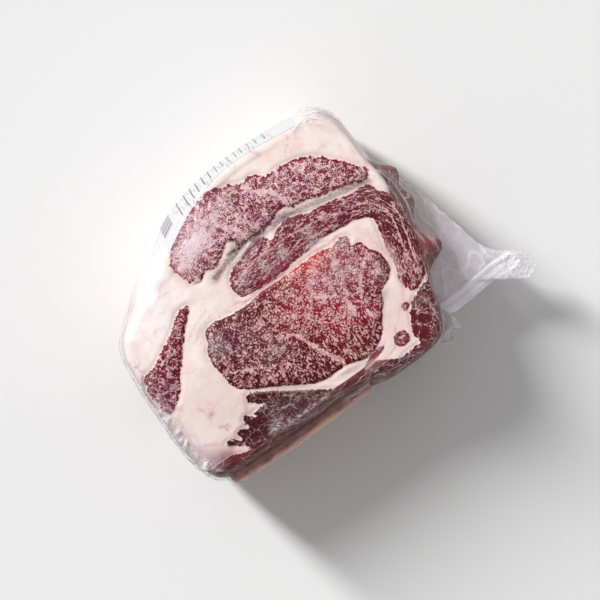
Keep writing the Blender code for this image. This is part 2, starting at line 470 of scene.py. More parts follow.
MUSCLES = (
    Muscle("eye", "420A16", "CE9C92", "C08A88", -0.06, 1.0, 0.12, 0.4, (
        (-58, 4), (-50, 7), (-40, 5), (-25, 3.5), (-10, 5), (15, 5), (40, 5), (50, 2.5),
        (58, 5), (63, 1), (61, -4), (68, -6), (70, -13), (75, -20), (75, -32), (70, -38),
        (61, -42), (57, -50), (51, -57), (45, -66), (37, -72), (25, -75), (10, -71),
        (-8, -71), (-20, -66), (-30, -60), (-42, -53), (-55, -46), (-63, -38), (-65, -25),
        (-66, -16), (-64, -8), (-60, -3)), Grain.EYE),
    Muscle("cap", "541224", "D4A2A0", "BA8490", -0.16, 0.8, 0.35, 0.7, (
        (-24, 14), (-24, 21), (-19, 28), (-8, 32.5), (5, 36), (14, 36.5), (17, 31), (22, 33),
        (28, 36.5), (40, 36), (50, 31.5), (65, 30), (80, 26.5), (94, 25), (99, 17), (106, 10),
        (113, 6), (115, -5), (114, -15), (113, -25), (114, -33), (109, -38), (99, -44),
        (91, -51), (80, -55.5),
        (76, -50), (76, -42), (79, -30), (81, -16), (84, -4), (84, 4), (74, 8.5), (60, 10.5),
        (45, 11), (25, 9.5), (8, 7.5), (-8, 7.5), (-20, 9.5)), Grain.BENT),
    Muscle("lifter", "601026", "ECC6CA", "C490A2", 0.01, 0.12, 0.8, 1.0, (
        (-49, 48), (-46, 39), (-40, 35), (-33, 39.5), (-27, 37), (-18, 41), (-9, 47.5),
        (-3, 45), (-8, 38.5), (5, 39.5), (20, 40), (36, 45), (44, 41), (55, 39), (70, 35),
        (85, 31), (96, 27.5), (101, 33), (94, 43), (86, 52), (76, 61.5), (64, 67.5), (50, 70),
        (40, 70), (33, 76), (24, 76), (14, 80), (0, 84), (-18, 80), (-32, 75), (-44, 66),
        (-51, 57))),
    Muscle("lip", "541022", "D09CA0", "BC8492", -0.12, 0.9, 0.4, 0.8, (
        (-57, 27), (-66, 27), (-76, 19), (-90, 11), (-103, 4.5), (-110, 3.5), (-114, -6),
        (-114, -18), (-110.5, -29), (-104, -26), (-97, -21), (-88, -9), (-78, 3), (-68, 14),
        (-59, 22))),
    Muscle("intercostal", "320A14", "80505A", "643C48", -0.42, 0.8, 0.08, 0.8, (
        (-61, -52), (-57, -48), (-45, -54), (-33, -62), (-22, -69), (-12, -76), (-6, -84),
        (-45, -96), (-60, -84), (-76, -83), (-80, -77), (-91, -69), (-87, -67.5), (-79, -72),
        (-80, -67), (-74, -66), (-70, -70), (-71, -61), (-66, -60.5), (-62, -66), (-62, -61),
        (-56, -61), (-52, -60), (-57, -57))),
    Muscle("chine_front", "460E18", "C49A96", "9C6672", -0.42, 0.35, 0.4, 0.7, (
        (61.5, -80), (66, -71), (70, -64), (77, -59.5), (83, -56.5), (91, -55), (98, -60),
        (99, -72), (94, -90),
        (75, -105), (58, -104), (42, -97), (46, -89), (55, -88), (62, -87))),
    Muscle("round_fillet", "5E2034", "C8A0A0", "B08890", -0.05, 0.6, 0.3, 0.5,
           ellipse(53, -78, 6, 5.5)),
    Muscle("small_fillet", "6A2A34", "C8A09C", "B08890", -0.05, 0.5, 0.3, 0.5,
           ellipse(68, -61, 3, 3)),
    Muscle("thin_strip", "602234", "B894A0", "A08090", -0.1, 0.4, 0.3, 0.5,
           ellipse(31, -77, 10, 2.2, 14)),
)

# Where the lean is redder, paler or fattier within a muscle
ZONES = (
    Zone(29, -11, 26, 15, 10, "841828", "D4A0A8", 0.32, 0.0),
    Zone(27, -40, 17, 14, 0, "7C1626", "D4A0A6", 0.26),
    Zone(46, -50, 12, 9, -50, "701626", "CC98A6", 0.24),
    Zone(34, 1, 15, 6, 0, "942428", "D89A88", 0.0, -0.1),
    Zone(16, 3, 5, 3, 20, "A01C30", "", -0.05, -0.1),
    Zone(5, -20, 20, 14, 0, "721422", "CC989C", 0.20, 0.0),
    Zone(44, -14, 13, 12, 0, "701A2C", "CCA0B0", 0.34, 0.0),
    Zone(-48, -12, 12, 16, 0, "4A1226", "9A7890", 0.0, 0.0),
    Zone(-15, -60, 22, 8, 0, "400E18", "", -0.12, 0.0),
    Zone(22, -62, 26, 9, 0, "541018", "", -0.06, -0.2),
    Zone(62, -24, 9, 16, 0, "6C182A", "CA9CAA", 0.32, 0.0),
    Zone(-24, -33, 8, 3, -40, "", "", 0.35),
    Zone(36, -40, 2.5, 6, 20, "", "", 0.6),
    Zone(-28, 60, 24, 9, 22, "A2546E", "F4D8E2", 0.74, 0.1),
    Zone(3, 53, 4, 5, 0, "", "", 0.4),
    Zone(56, 52, 30, 10, -22, "62182E", "", 0.05),
    Zone(8, 11, 20, 4, 12, "741E3C", "9C5068", -0.30, 0.0),
    Zone(96, -8, 13, 34, 8, "480F1A", "D8B0A8", -0.22, -0.5),
    Zone(78, 22, 16, 6, -10, "581A30", "A87C90", 0.0),
    Zone(40, 12, 6, 1.8, 0, "", "", 0.9),
    Zone(57, 25, 5, 2.2, 0, "", "", 0.9),
    Zone(-104, -12, 9, 9, 0, "5A1C38", "A88098", 0.0),
    Zone(86, -84, 8, 12, 0, "420F16", "", -0.35),
)

# Veins of fat through the muscles
VEINS = (
    Streak(((-50, -31), (-45, -38), (-40, -46), (-35, -52)), 1.0, 0.9),
    Streak(((-62, -27), (-52, -33), (-40, -37), (-30, -44)), 0.9, 0.8),
    Streak(((-12, -31), (-7, -33), (-3, -42), (2, -52), (6, -61), (10, -70)), 1.3, 1.6),
    Streak(((63, -17), (55, -25), (50, -32), (45, -40)), 1.2, 1.2),
    Streak(((20, -20), (30, -26), (37, -36), (36, -46)), 1.2, 1.0),
    Streak(((41, 44), (40, 52), (35, 60), (27, 66), (23, 72)), 1.2, 1.8),
    Streak(((4, 42), (2, 50), (-4, 56), (-8, 62)), 1.0, 1.2),
    Streak(((-12, 45), (-5, 48), (4, 46)), 1.2, 1.0),
    Streak(((-20, 20), (0, 26), (22, 26), (45, 24), (68, 20)), 0.7, 1.0),
    Streak(((-10, 13), (12, 15), (34, 16), (60, 15)), 0.7, 1.0),
    Streak(((78, 18), (90, 12), (96, 0), (94, -14), (90, -28), (88, -45)), 0.55, 1.3),
    Streak(((96, 12), (101, -2), (98, -18), (94, -32), (91, -48)), 0.5, 1.1),
    Streak(((74, -70), (80, -76), (82, -84), (78, -92)), 0.6, 1.2),
    Streak(((66, -76), (72, -80), (73, -88)), 0.5, 1.0),
    Streak(((-95, -8), (-90, 4), (-80, 12)), 0.8, 0.8),
)

# Membranes, blood and slits painted over meat and fat; the slits, the gap at the chine side and the
# creased flank wall are painted shade
PAINT = (
    Streak(((-30, 31.5), (-15, 35.5), (10, 38), (33, 40)), 3.3, 0.95, "6E5058"),
    Streak(((33, 40), (50, 36), (70, 32.5), (97, 26)), 2.8, 0.9, "765E62"),
    Streak(((-26, 29), (-19, 31.5), (-8, 35), (4, 38)), 0.9, 0.9, "EBDCD8"),
    Streak(((-31, 30), (-24, 33.5), (-18, 36)), 1.0, 0.75, "B05868"),
    # A near-black line in the slit at the lifter's notch: painted shade
    Streak(((-13, 39.5), (-8, 39.5), (-2, 42), (-3, 45), (-8, 48)), 1.3, 1.0, "20080C"),
    Streak(((-50, 55), (-43, 64), (-31, 72.5), (-17, 77)), 0.7, 0.5, "A84058"),
    Streak(((-28, 9), (-20, 6), (0, 5.5), (20, 6)), 1.2, 0.6, "B4606C"),
    Streak(((20, 6.5), (34, 7.5), (48, 6), (56, 7)), 1.5, 0.6, "C08A7C"),
    Streak(((72, 2), (79, -10), (80, -24), (77, -38)), 3.0, 0.55, "E6C8B8"),
    Streak(((76, -12), (79, -28), (77, -42), (70, -56)), 1.0, 0.5, "BE8C82"),
    Streak(((62, -44), (55, -56), (46, -69), (36, -75)), 1.6, 0.55, "B49AA4"),
    Streak(((60, -50), (52, -62), (40, -77), (20, -81)), 0.9, 0.5, "F4E8E0"),
    Streak(((54, -68), (44, -81), (18, -84)), 0.9, 0.45, "A87C7C"),
    Streak(((-8, -74), (10, -75.5), (30, -80), (44, -86)), 1.4, 0.5, "E8C8B4"),
    Streak(((-62, -45), (-50, -52), (-38, -59), (-24, -69), (-10, -75)), 0.9, 0.5, "D8A4A0"),
    Streak(((-70, -10), (-70, -24), (-67, -38)), 1.6, 0.4, "F0C8B8"),
    Streak(((-87, -56), (-84.5, -57), (-83.5, -61)), 0.7, 0.8, "BE4A38"),
    Streak(((-82, -57), (-81, -59.5)), 0.7, 0.7, "B03A34"),
    Streak(((-88, -45), (-86, -44)), 2.4, 0.5, "9A6A80"),
    Streak(((-90, -40), (-92, -37)), 1.4, 0.4, "A87888"),
    Streak(((-103, -60), (-98, -63), (-93, -66)), 0.8, 0.5, "D08884"),
    Streak(((-99, -70), (-90, -72), (-80, -72)), 0.8, 0.35, "C87878"),
    Streak(((41, 91), (43, 88), (45, 85)), 1.5, 0.5, "D8707C"),
    Streak(((63, 80), (65, 79)), 1.2, 0.4, "D88078"),
    Streak(((-112, 3), (-117, -6), (-116, -20)), 1.6, 0.7, "7A3450"),
    Streak(((-111, -18), (-108, -25), (-102, -30)), 1.8, 0.45, "A07088"),
    # Darker lilac grey down the flank wall, where the film is creased: painted shade
    Streak(((-116, -28), (-115, -46), (-110, -62), (-105, -72)), 7.0, 0.62, "A88A94"),
    Streak(((104, 12), (105, 4), (104, -4)), 1.0, 0.4, "B88080"),
    Streak(((86, -62), (88, -70), (85, -82)), 1.2, 0.4, "8E3A3C"),
    # A near-black line in the gap between the cap muscle and the chine lobes: painted shadow
    Streak(((111, 24), (113.5, 12), (114, 0), (112.5, -14)), 1.3, 0.85, "1E070A"),
)

# Where the film is milky: pockets where it has let go of the meat, and patches where its glare is painted
# as milk
MIST_AND_GLARE_ZONES = (
    Zone(-30, 59, 19, 8, 28, mist_and_glare=0.45),
    Zone(-2, 69, 18, 4, 14, mist_and_glare=0.35),
    Zone(-56, -8, 6, 8, 0, mist_and_glare=0.30),
    Zone(-26, -34, 9, 6, 0, mist_and_glare=0.18),
    Zone(-30, -16, 10, 8, 0, mist_and_glare=0.08),
    Zone(43, -14, 13, 11, 0, mist_and_glare=0.22),
    Zone(57, 1, 8, 4, 0, mist_and_glare=0.35),
    Zone(66, -30, 6, 10, 0, mist_and_glare=0.15),
    Zone(18.5, 18.5, 4, 4.5, 20, mist_and_glare=0.62),
    Zone(4, 18, 3, 7, 30, mist_and_glare=0.45),
    Zone(-14, 20, 8, 4, 30, mist_and_glare=0.35),
    Zone(41, 21, 5, 4, 0, mist_and_glare=0.45),
    Zone(-53.5, -76.5, 6.5, 3.6, 30, mist_and_glare=0.45),
    Zone(-28, -72, 12, 4, 0, mist_and_glare=0.08),
    Zone(-45, -67, 14, 5, -30, mist_and_glare=0.07),
    Zone(76, -62, 4, 7, 0, mist_and_glare=0.12),
    Zone(95, 15, 10, 8, 0, mist_and_glare=0.08),
    Zone(92, 88, 12, 9, 0, mist_and_glare=0.45),
)
# Glints on the film's folds, painted as milky lines: painted highlights
GLINTS = (
    Streak(((-14, 33), (-6, 35), (4, 38)), 1.0, 0.8),
    Streak(((33, 12), (42, 12.5), (50, 10)), 1.3, 0.8),
    Streak(((48, 37.5), (60, 35), (74, 31), (96, 26.5)), 1.0, 0.12),
    Streak(((-36, -60), (-31.5, -63), (-27, -66)), 0.8, 0.55),
    Streak(((-38, -63), (-33, -66), (-30, -70)), 0.8, 0.5),
    Streak(((-44, -70), (-38, -71), (-36, -74)), 0.9, 0.45),
    Streak(((-49, -81.5), (-40, -82), (-28, -82), (-12, -80.5)), 1.8, 0.32),
    Streak(((-30, -86), (-18, -86), (-4, -84.5)), 1.5, 0.25),
    Streak(((-3, -90.5), (6, -92), (15, -91)), 1.5, 0.45),
    Streak(((-3, -94), (4, -95), (10, -95.5)), 1.0, 0.5),
    Streak(((-68, 4), (-59, 10), (-47, 14)), 1.0, 0.55),
    Streak(((-71, 8), (-61, 14), (-49, 18)), 1.0, 0.5),
    Streak(((-66, 0), (-61, 4), (-54, 8)), 0.8, 0.45),
    Streak(((-70, 44), (-67, 44.5), (-63, 43)), 0.8, 0.5),
    Streak(((-88, 25), (-84, 26.5), (-79, 25)), 0.8, 0.5),
    Streak(((-80, 34), (-77, 35), (-73, 34)), 0.7, 0.35),
    Streak(((80, -62), (83, -70), (82, -80)), 1.1, 0.4),
    Streak(((100, 37), (106, 28), (111.5, 16), (111, 0), (107.5, -16)), 0.9, 0.7),
    Streak(((104, 31), (112, 22), (116, 8)), 1.0, 0.6),
    Streak(((98, 33), (104, 24), (107, 13), (106, 0), (103, -14)), 0.7, 0.5),
    Streak(((108, -24), (113, -32), (111, -44)), 1.0, 0.5),
    Streak(((74, 85), (85, 88), (95, 87), (101, 80)), 1.2, 0.7),
    Streak(((86, 95), (97, 91), (103, 80)), 1.2, 0.6),
    Streak(((56, -93), (66, -97), (78, -96)), 0.9, 0.35),
)

# The line that the cap's fibres follow
CAP_LINE: Outline = ((-24, 20), (40, 24), (80, 17), (94, 5), (98, -15), (92, -35), (85, -55),
                     (80, -75))

FAT_TONE = "F5E6E3"                 # clean outer fat
EDGE_FAT = "E8CAC2"                 # fat stained by the lean beside it
FLANK_PAINTED_SHADE = "CFBEBD"                # painted shade: fat down the flank wall, darkened where it faces the lamp

# Where the fat is whiter, pinker or darker; the whiter back flank and the darker front flank are painted
# light and shade
FAT_TONE_AND_LIGHT_ZONES = (
    # Darker over the front flank, away from the lamp: painted shade
    Zone(-74, -48, 36, 26, -30, "E4D0CB"),
    Zone(76, -10, 10, 20, 10, "F0DEDA"),
    Zone(64, -64, 26, 20, 20, "EAD0C8"),
    # Whiter over the back flank, which faces the lamp: painted light
    Zone(-84, 40, 34, 26, 0, "FBF0F0"),
    # Darker still at the front flank corner: painted shade
    Zone(-98, -76, 26, 10, -12, "C0A09C"),
    Zone(-97, -77, 16, 6, 0, "8A6868"),
    Zone(60, 82, 40, 12, -10, "F8E4DC"),
    Zone(10, 86, 34, 9, 0, "F8E8E2"),
    Zone(106, 14, 6, 12, 0, "F2E2DE"),
)


@dataclass
class Anatomy:
    """Where meat and fat lie, over the cut face and carried down the walls."""

    rim_angles: np.ndarray
    rim_radii: np.ndarray
    wall_inset: float = 1.5         # how far inside the rim the walls take their pattern from
    shoulder: float = 9.0           # how far outside it the rounded shoulder keeps its own
    fibre_stretch: float = 0.22     # pattern per millimetre of height, against across
    streak_stretch: float = 0.62    # pattern per millimetre along the cap, against across
    across_stretch: float = 1.5     # and across it
    drift_mm: float = 5.0           # how far the muscles wander on their way down the walls
    wall_meat: tuple[str, str] = ("3C1218", "5C2629")       # between the ribs, dark to brown
    lobe_meat: tuple[str, str] = ("26060C", "741E26")       # of the lobes, dark to wine red
    lobe_skin: tuple[str, str] = ("E8C0B0", "AC2834")       # of the paler lobe, tan to rose; the tan is partly painted light, paler than its own tone since the lobe lies in shade
    strand_tone: str = "C49A8C"     # sinew across the lobes
    rib_pitch: float = 40.0         # from one rib to the next, in millimetres
    rib_rim: float = 13.5           # from a rib's middle to the strip of fat along it
    stain_mm: float = 3.5           # how far lean stains the fat beside it
    stain: float = 0.55             # and how strongly

    @classmethod
    def from_roast(cls, roast: bpy.types.Object) -> "Anatomy":
        """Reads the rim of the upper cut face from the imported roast.

        Args:
            roast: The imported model's roast.

        Returns:
            The map of the cut.
        """
        places, _ = vertices_of(roast)
        level = places[np.abs(places[:, 2] - CUT_LEVEL) < 0.05]
        angles = np.degrees(np.arctan2(level[:, 1], level[:, 0]))
        radii = np.hypot(level[:, 0], level[:, 1])
        steps = np.arange(-180, 181, 3.0)
        widest = [radii[np.abs((angles - s + 180) % 360 - 180) < 3.0].max(initial=0.0) for s in steps]
        return cls(steps, np.array(widest))

    def rim(self, places: np.ndarray) -> np.ndarray:
        """Distance from the middle to the rim, in each place's direction."""
        angles = np.degrees(np.arctan2(places[:, 1], places[:, 0]))
        return np.interp(angles, self.rim_angles, self.rim_radii)

    def lookup(self, places: np.ndarray) -> np.ndarray:
        """The place on the cut face whose muscle shows at each place of the surface.

        Args:
            places: Places on the surface, in millimetres.

        Returns:
            X and Y on the cut face, in millimetres.
        """
        radii = np.maximum(np.hypot(places[:, 0], places[:, 1]), 1e-6)
        over = (self.shoulder + self.wall_inset) * ramp(places[:, 2], 104.0, 118.0)
        held = np.minimum(radii, self.rim(places) - self.wall_inset + over)
        flat = places[:, :2] * (held / radii)[:, None]
        low = ramp(places[:, 2], 122.0, 80.0) * self.drift_mm
        steps = np.column_stack([np.zeros(len(places)), np.zeros(len(places)), places[:, 2]])
        flat[:, 0] += low * wander(steps, 30.0, 1.0)
        flat[:, 1] += low * wander(steps, 26.0, 2.0)
        return flat

    def grain(self, flat: np.ndarray, height: np.ndarray, kind: Grain) -> np.ndarray:
        """Coordinates in which the marbling of a muscle has no direction of its own.

        Args:
            flat: Places on the cut face, in millimetres.
            height: The height of each place, in millimetres.
            kind: Which way the fibres of the muscle run.

        Returns:
            Three coordinates for each place.
        """
        u, v = flat[:, 0].copy(), flat[:, 1].copy()
        if kind is Grain.EYE:
            v = np.where(v < -46.0, -46.0 + (v + 46.0) * 0.6, v)
        if kind is Grain.BENT:
            along, beside = along_line(flat, curve_through(CAP_LINE, False))
            u, v = along * self.streak_stretch + 300.0, beside * self.across_stretch
        return np.column_stack([u, v, height * self.fibre_stretch])

    def dress(self, piece: bpy.types.Object) -> None:
        """Stores what the beef's material reads at each vertex.

        Args:
            piece: The mesh that is dressed, changed in place.
        """
        places, normals = vertices_of(piece)
        flat = self.lookup(places)
        depths = np.stack([depth_inside(flat, curve_through(m.outline, True)) for m in MUSCLES])
        owner = depths.argmax(axis=0)
        lean = depths.max(axis=0)
        tones, veins, inner = (np.array([linear(getattr(m, part)) for m in MUSCLES])[owner]
                               for part in ("tone", "vein", "inner"))
        fat, curly, bundles, ragged = (np.array([getattr(m, part) for m in MUSCLES])[owner]
                                       for part in ("fat", "curly", "bundles", "ragged"))
        grains = np.zeros((len(places), 3))
        for kind in Grain:
            found = self.grain(flat, places[:, 2], kind)
            mine = np.array([m.grain is kind for m in MUSCLES])[owner]
            grains[mine] = found[mine]
        for zone in ZONES:
            w = zone.weight(flat)
            fat += w * zone.fat
            curly += w * zone.curly
            if zone.tone:
                tones += w[:, None] * (np.array(linear(zone.tone)) - tones)
            if zone.inner:
                inner += w[:, None] * (np.array(linear(zone.inner)) - inner)
                veins += 0.6 * w[:, None] * (np.array(linear(zone.inner)) - veins)
        for vein in VEINS:
            fat += vein.weight(flat)
        paint, share = self.painted(flat, places)
        self.back(places, normals, lean)
        self.front(places, normals, lean, tones, fat, grains)
        self.chine(places, lean, tones, fat, paint, share)
        store(piece, "lean", lean)
        store(piece, "marbling", np.clip(fat, -1.0, 2.0))
        store(piece, "curly", np.clip(curly, 0.0, 1.0))
        store(piece, "bundles", bundles)
        store(piece, "ragged", ragged)
        store(piece, "grain", grains)
        store(piece, "lean_tone", tones)
        store(piece, "vein_tone", veins)
        store(piece, "inner_tone", inner)
        store(piece, "fat_tone", self.fat_tones(flat, places, lean))
        store(piece, "paint", paint)
        store(piece, "paint_share", share)

    def painted(self, flat: np.ndarray, places: np.ndarray) -> tuple[np.ndarray, np.ndarray]:
        """The colour of what is painted over each place, and how strongly it covers.

        Args:
            flat: Places on the cut face, in millimetres.
            places: Places on the surface, in millimetres.

        Returns:
            The colours, and shares from 0 to 1.
        """
        paint = np.tile(np.array(linear(FAT_TONE)), (len(flat), 1))
        share = np.zeros(len(flat))
        for streak in PAINT:
            w = streak.weight(flat)
            left = share * (1.0 - w)
            mixed = w / np.maximum(w + left, 1e-6)
            paint += mixed[:, None] * (np.array(linear(streak.tone)) - paint)
            share = w + left
        return paint, share * ramp(places[:, 2], 60.0, 115.0)

    def back(self, places: np.ndarray, normals: np.ndarray, lean: np.ndarray) -> None:
        """Covers the back wall with the fat cap, in place in the given array."""
        wall = ramp(normals[:, 1], 0.25, 0.6) * ramp(places[:, 2], 123.5, 121.0)
        wall *= ramp(places[:, 1], 42.0, 52.0)
        lean -= wall * (lean + 4.0)

    def front(self, places: np.ndarray, normals: np.ndarray, lean: np.ndarray,
              tones: np.ndarray, fat: np.ndarray, grains: np.ndarray) -> None:
        """Puts the meat between the ribs on the front wall, in place in the given arrays.

        Args:
            places: Places on the surface, in millimetres.
            normals: The surface's directions there.
            lean: Depth inside lean, in millimetres.
            tones: Colours of the lean.
            fat: How strongly the meat is marbled.
            grains: Coordinates that the marbling follows.
        """
        edge = -79.0 - 3.5 * ramp(np.abs(places[:, 0] + 58.0), 30.0, 12.0)
        edge += 3.0 * ramp(places[:, 0], -84.0, -92.0)
        edge -= 12.0 * ramp(places[:, 0], 24.0, 54.0)
        wall = (edge - places[:, 1]) * ramp(places[:, 0], 90.0, 80.0)
        wall = np.minimum(wall, (places[:, 0] + 116.0) * 0.8)
        pick = (wall > 0.0) & (normals[:, 1] < 0.6)
        lean[pick] = np.maximum(lean[pick], wall[pick])
        dark, brown = (np.array(linear(tone)) for tone in self.wall_meat)
        shade = 0.5 + 0.5 * wander(places * np.array((0.4, 1.0, 1.0)), 9.0, 41.0)
        tones[pick] = (dark + shade[:, None] * (brown - dark))[pick]
        rib = np.abs(places[:, 2] % self.rib_pitch - self.rib_pitch / 2.0)
        strip = np.exp(-((rib - self.rib_rim) / 2.0) ** 2) * ramp(places[:, 0], 30.0, 15.0)
        strip *= ramp(places[:, 2], 112.0, 104.0)
        fat[pick] = (-0.45 + 0.6 * strip)[pick]
        grains[pick] = np.column_stack([places[:, 0] * 0.3, places[:, 2], places[:, 1]])[pick]

    def chine(self, places: np.ndarray, lean: np.ndarray, tones: np.ndarray, fat: np.ndarray,
              paint: np.ndarray, share: np.ndarray) -> None:
        """Gives the lobes at the chine side their own colours, in place in the given arrays.

        Args:
            places: Places on the surface, in millimetres.
            lean: Depth inside lean, in millimetres.
            tones: Colours of the lean.
            fat: How strongly the meat is marbled.
            paint: Colours painted over the meat.
            share: How strongly they cover.
        """
        beyond = np.hypot(places[:, 0], places[:, 1]) - self.rim(places)
        uneven = 12.0 * wander(places, 13.0, 45.0)
        side = ramp(beyond, 0.0, 2.0) * ramp(places[:, 0], 84.0, 92.0)
        side *= ramp(places[:, 2] + uneven, 45.0, 60.0) * ramp(places[:, 1] + uneven, 44.0, 36.0)
        pick = side > 0.5
        lean[pick] = np.maximum(lean[pick], 3.0)
        shade = (0.5 + 0.5 * wander(places, 6.0, 42.0))[:, None]
        dark, wine = (np.array(linear(tone)) for tone in self.lobe_meat)
        tones[pick] = (dark + shade * (wine - dark))[pick]
        fat[pick] = -0.6
        # A tan patch on the middle lobe, partly its own tan and partly painted light where the lobe lies
        # in shade
        tan = ramp(np.abs(places[:, 1] + 30.0), 11.0, 5.0) * side
        rose = ramp(wander(places * np.array((1.0, 0.6, 0.8)), 7.0, 43.0), -0.35, 0.2)
        tan_tone, rose_tone = (np.array(linear(tone)) for tone in self.lobe_skin)
        picked = tan > 0.05
        paint[picked] = (tan_tone + rose[:, None] * (rose_tone - tan_tone))[picked]
        share[picked] = np.maximum(share[picked], 0.85 * tan[picked])
        strand = creases(places * np.array((1.0, 0.5, 1.0)), 5.0, 44.0, 6.0) * side * (1.0 - tan)
        mark = strand > 0.15
        paint[mark] = np.array(linear(self.strand_tone))
        share[mark] = np.maximum(share[mark], 0.35 * strand[mark])

    def fat_tones(self, flat: np.ndarray, places: np.ndarray, lean: np.ndarray) -> np.ndarray:
        """The colour of the fat at each vertex: white at the cap, tan beside the muscles, and painted
        light and shade.

        Args:
            flat: Places on the cut face, in millimetres.
            places: Places on the surface, in millimetres.
            lean: Depth inside lean, negative in fat.

        Returns:
            A colour for each vertex.
        """
        tones = np.tile(np.array(linear(FAT_TONE)), (len(flat), 1))
        for zone in FAT_TONE_AND_LIGHT_ZONES:
            tones += zone.weight(flat)[:, None] * (np.array(linear(zone.tone)) - tones)
        # Down the flank wall, which faces the lamp, the fat is darkened: painted shade
        flank = (ramp(places[:, 2], 123.0, 108.0) * ramp(places[:, 0], -70.0, -96.0))[:, None]
        tones += flank * (np.array(linear(FLANK_PAINTED_SHADE)) - tones)
        beside = np.exp(-(np.minimum(lean, 0.0) / self.stain_mm) ** 2)[:, None] * self.stain
        return tones + beside * (np.array(linear(EDGE_FAT)) - tones)


# ------------------------------------------------------------------ finishes


@dataclass(frozen=True)
class RawBeef:
    """Raw marbled beef, sliced with a knife: dark red lean in a network of pale fat."""

    seam: str = "DDBEB2"            # fat between the bundles of fibres
    blush: str = "EBC8C2"           # blood in the fat
    vessel: str = "D8A09A"          # fine blood vessels across it
    net_mm: float = 1.5             # width of the finest islands of lean
    curl_mm: float = 2.3            # width of a loop of the curly strokes
    clump_mm: float = 5.4           # how far apart the clumps of curls are
    bundle_mm: float = 9.0          # width of a bundle of fibres
    patch_mm: float = 14.0          # size of fattier and leaner patches
    ragged_mm: float = 2.4          # size of the teeth at a muscle's edge
    cloud_mm: float = 11.0          # size of the pink clouds in the fat
    vessel_mm: float = 13.0         # how far apart the vessels are
    roughness: float = 0.42

    def material(self) -> bpy.types.Material:
        """Builds the material from the values stored at the vertices.

        Returns:
            The material.
        """
        g = Graph("marbled_raw_beef")
        grain = g.add("Attribute", out="Vector", attribute_name="grain")
        lean = g.add("Attribute", out="Fac", attribute_name="lean")
        tone = g.add("Attribute", out="Color", attribute_name="lean_tone")

        # The veins wind: the coordinates are pushed about before the pattern is read
        wound = self.pushed(g, grain, 0.5, 1.5, 2.4)
        amount, side = self.marbling(g, grain, wound, lean)
        fatty = g.add("MapRange", {"Value": amount, LOW: -0.06, HIGH: 0.14},
                      interpolation_type="SMOOTHSTEP")
        seams = self.seams(g, grain, wound, amount)

        # Lean goes from almost black red to a brighter, juicier red
        juice = g.add("TexNoise", {"Vector": grain, "Scale": 0.8, "Detail": 2.0})
        juice = g.add("MapRange", {"Value": juice, LOW: 0.38, HIGH: 0.66})
        bright = g.add("VectorMath", {0: tone, 1: (2.4, 1.9, 2.0), 2: (0.010, 0.002, 0.004)},
                       operation="MULTIPLY_ADD")
        lean_colour = g.add("Mix", {"Factor": juice, SHADE_A: tone, SHADE_B: bright},
                            SHADE_OUT, data_type="RGBA")
        veins = g.add("Mix", {
            "Factor": side,
            SHADE_A: g.add("Attribute", out="Color", attribute_name="vein_tone"),
            SHADE_B: g.add("Attribute", out="Color", attribute_name="inner_tone"),
        }, SHADE_OUT, data_type="RGBA")
        meat = g.add("Mix", {"Factor": fatty, SHADE_A: lean_colour, SHADE_B: veins},
                     SHADE_OUT, data_type="RGBA")
        meat = g.add("Mix", {"Factor": seams, SHADE_A: meat, SHADE_B: linear(self.seam)},
                     SHADE_OUT, data_type="RGBA")

        ragged = g.add("Attribute", out="Fac", attribute_name="ragged")
        teeth = g.add("TexNoise", {"Vector": wound, "Scale": 1.0 / self.ragged_mm, "Detail": 1.5})
        teeth = g.add("MapRange", {"Value": teeth, LOW: 0.25, HIGH: 0.75, TO_LOW: -1.6, TO_HIGH: 1.6})
        inside = g.add("Math", {0: teeth, 1: ragged, 2: lean}, operation="MULTIPLY_ADD")
        inside = g.add("MapRange", {"Value": inside, LOW: -0.3, HIGH: 0.35},
                       interpolation_type="SMOOTHSTEP")
        colour = g.add("Mix", {"Factor": inside, SHADE_A: self.fat(g), SHADE_B: meat},
                       SHADE_OUT, data_type="RGBA")

        # Membranes, blood and slits lie over both, in broken strands
        strands = g.add("TexNoise", {"Vector": wound, "Scale": 0.45, "Detail": 2.0})
        strands = g.add("MapRange", {"Value": strands, LOW: 0.35, HIGH: 0.6, TO_LOW: 0.45, TO_HIGH: 1.0})
        share = g.add("Attribute", out="Fac", attribute_name="paint_share")
        share = g.add("Math", {0: share, 1: strands}, operation="MULTIPLY")
        colour = g.add("Mix", {
            "Factor": share, SHADE_A: colour,
            SHADE_B: g.add("Attribute", out="Color", attribute_name="paint"),
        }, SHADE_OUT, data_type="RGBA")

        relief = g.add("Math", {0: fatty, 1: seams}, operation="MAXIMUM")
        relief = g.add("Math", {0: relief, 1: inside}, operation="MULTIPLY")
        bump = g.add("Bump", {"Height": relief, "Distance": 0.00025, "Strength": 0.8})
        surface = g.add("BsdfPrincipled", {"Base Color": colour, "Roughness": self.roughness,
                                           "IOR": 1.4, "Specular IOR Level": 0.15,
                                           "Normal": bump})
        return g.finish(surface)

    def marbling(self, g: Graph, grain: bpy.types.NodeSocket, wound: bpy.types.NodeSocket,
                 lean: bpy.types.NodeSocket) -> tuple[bpy.types.NodeSocket, bpy.types.NodeSocket]:
        """Adds the fine marbling.

        Args:
            g: The material's node tree.
            grain: The muscle's own coordinates.
            wound: The same, pushed about.
            lean: Distance inside the muscle's edge.

        Returns:
            The amount of fat, where above 0 is fat, and 1 within a curl of lean or 0 outside.
        """
        net = g.add("TexVoronoi", {"Vector": wound, "Scale": 1.0 / self.net_mm},
                    feature="DISTANCE_TO_EDGE")
        net = g.add("MapRange", {"Value": net, LOW: 0.0, HIGH: 0.2, TO_LOW: 0.5, TO_HIGH: -0.5})
        flecks = g.add("TexNoise", {"Vector": wound, "Scale": 0.38, "Detail": 1.0})
        flecks = g.add("MapRange", {"Value": flecks, LOW: 0.25, HIGH: 0.75, TO_LOW: -0.7, TO_HIGH: 0.7})
        net = g.add("Math", {0: net, 1: flecks})

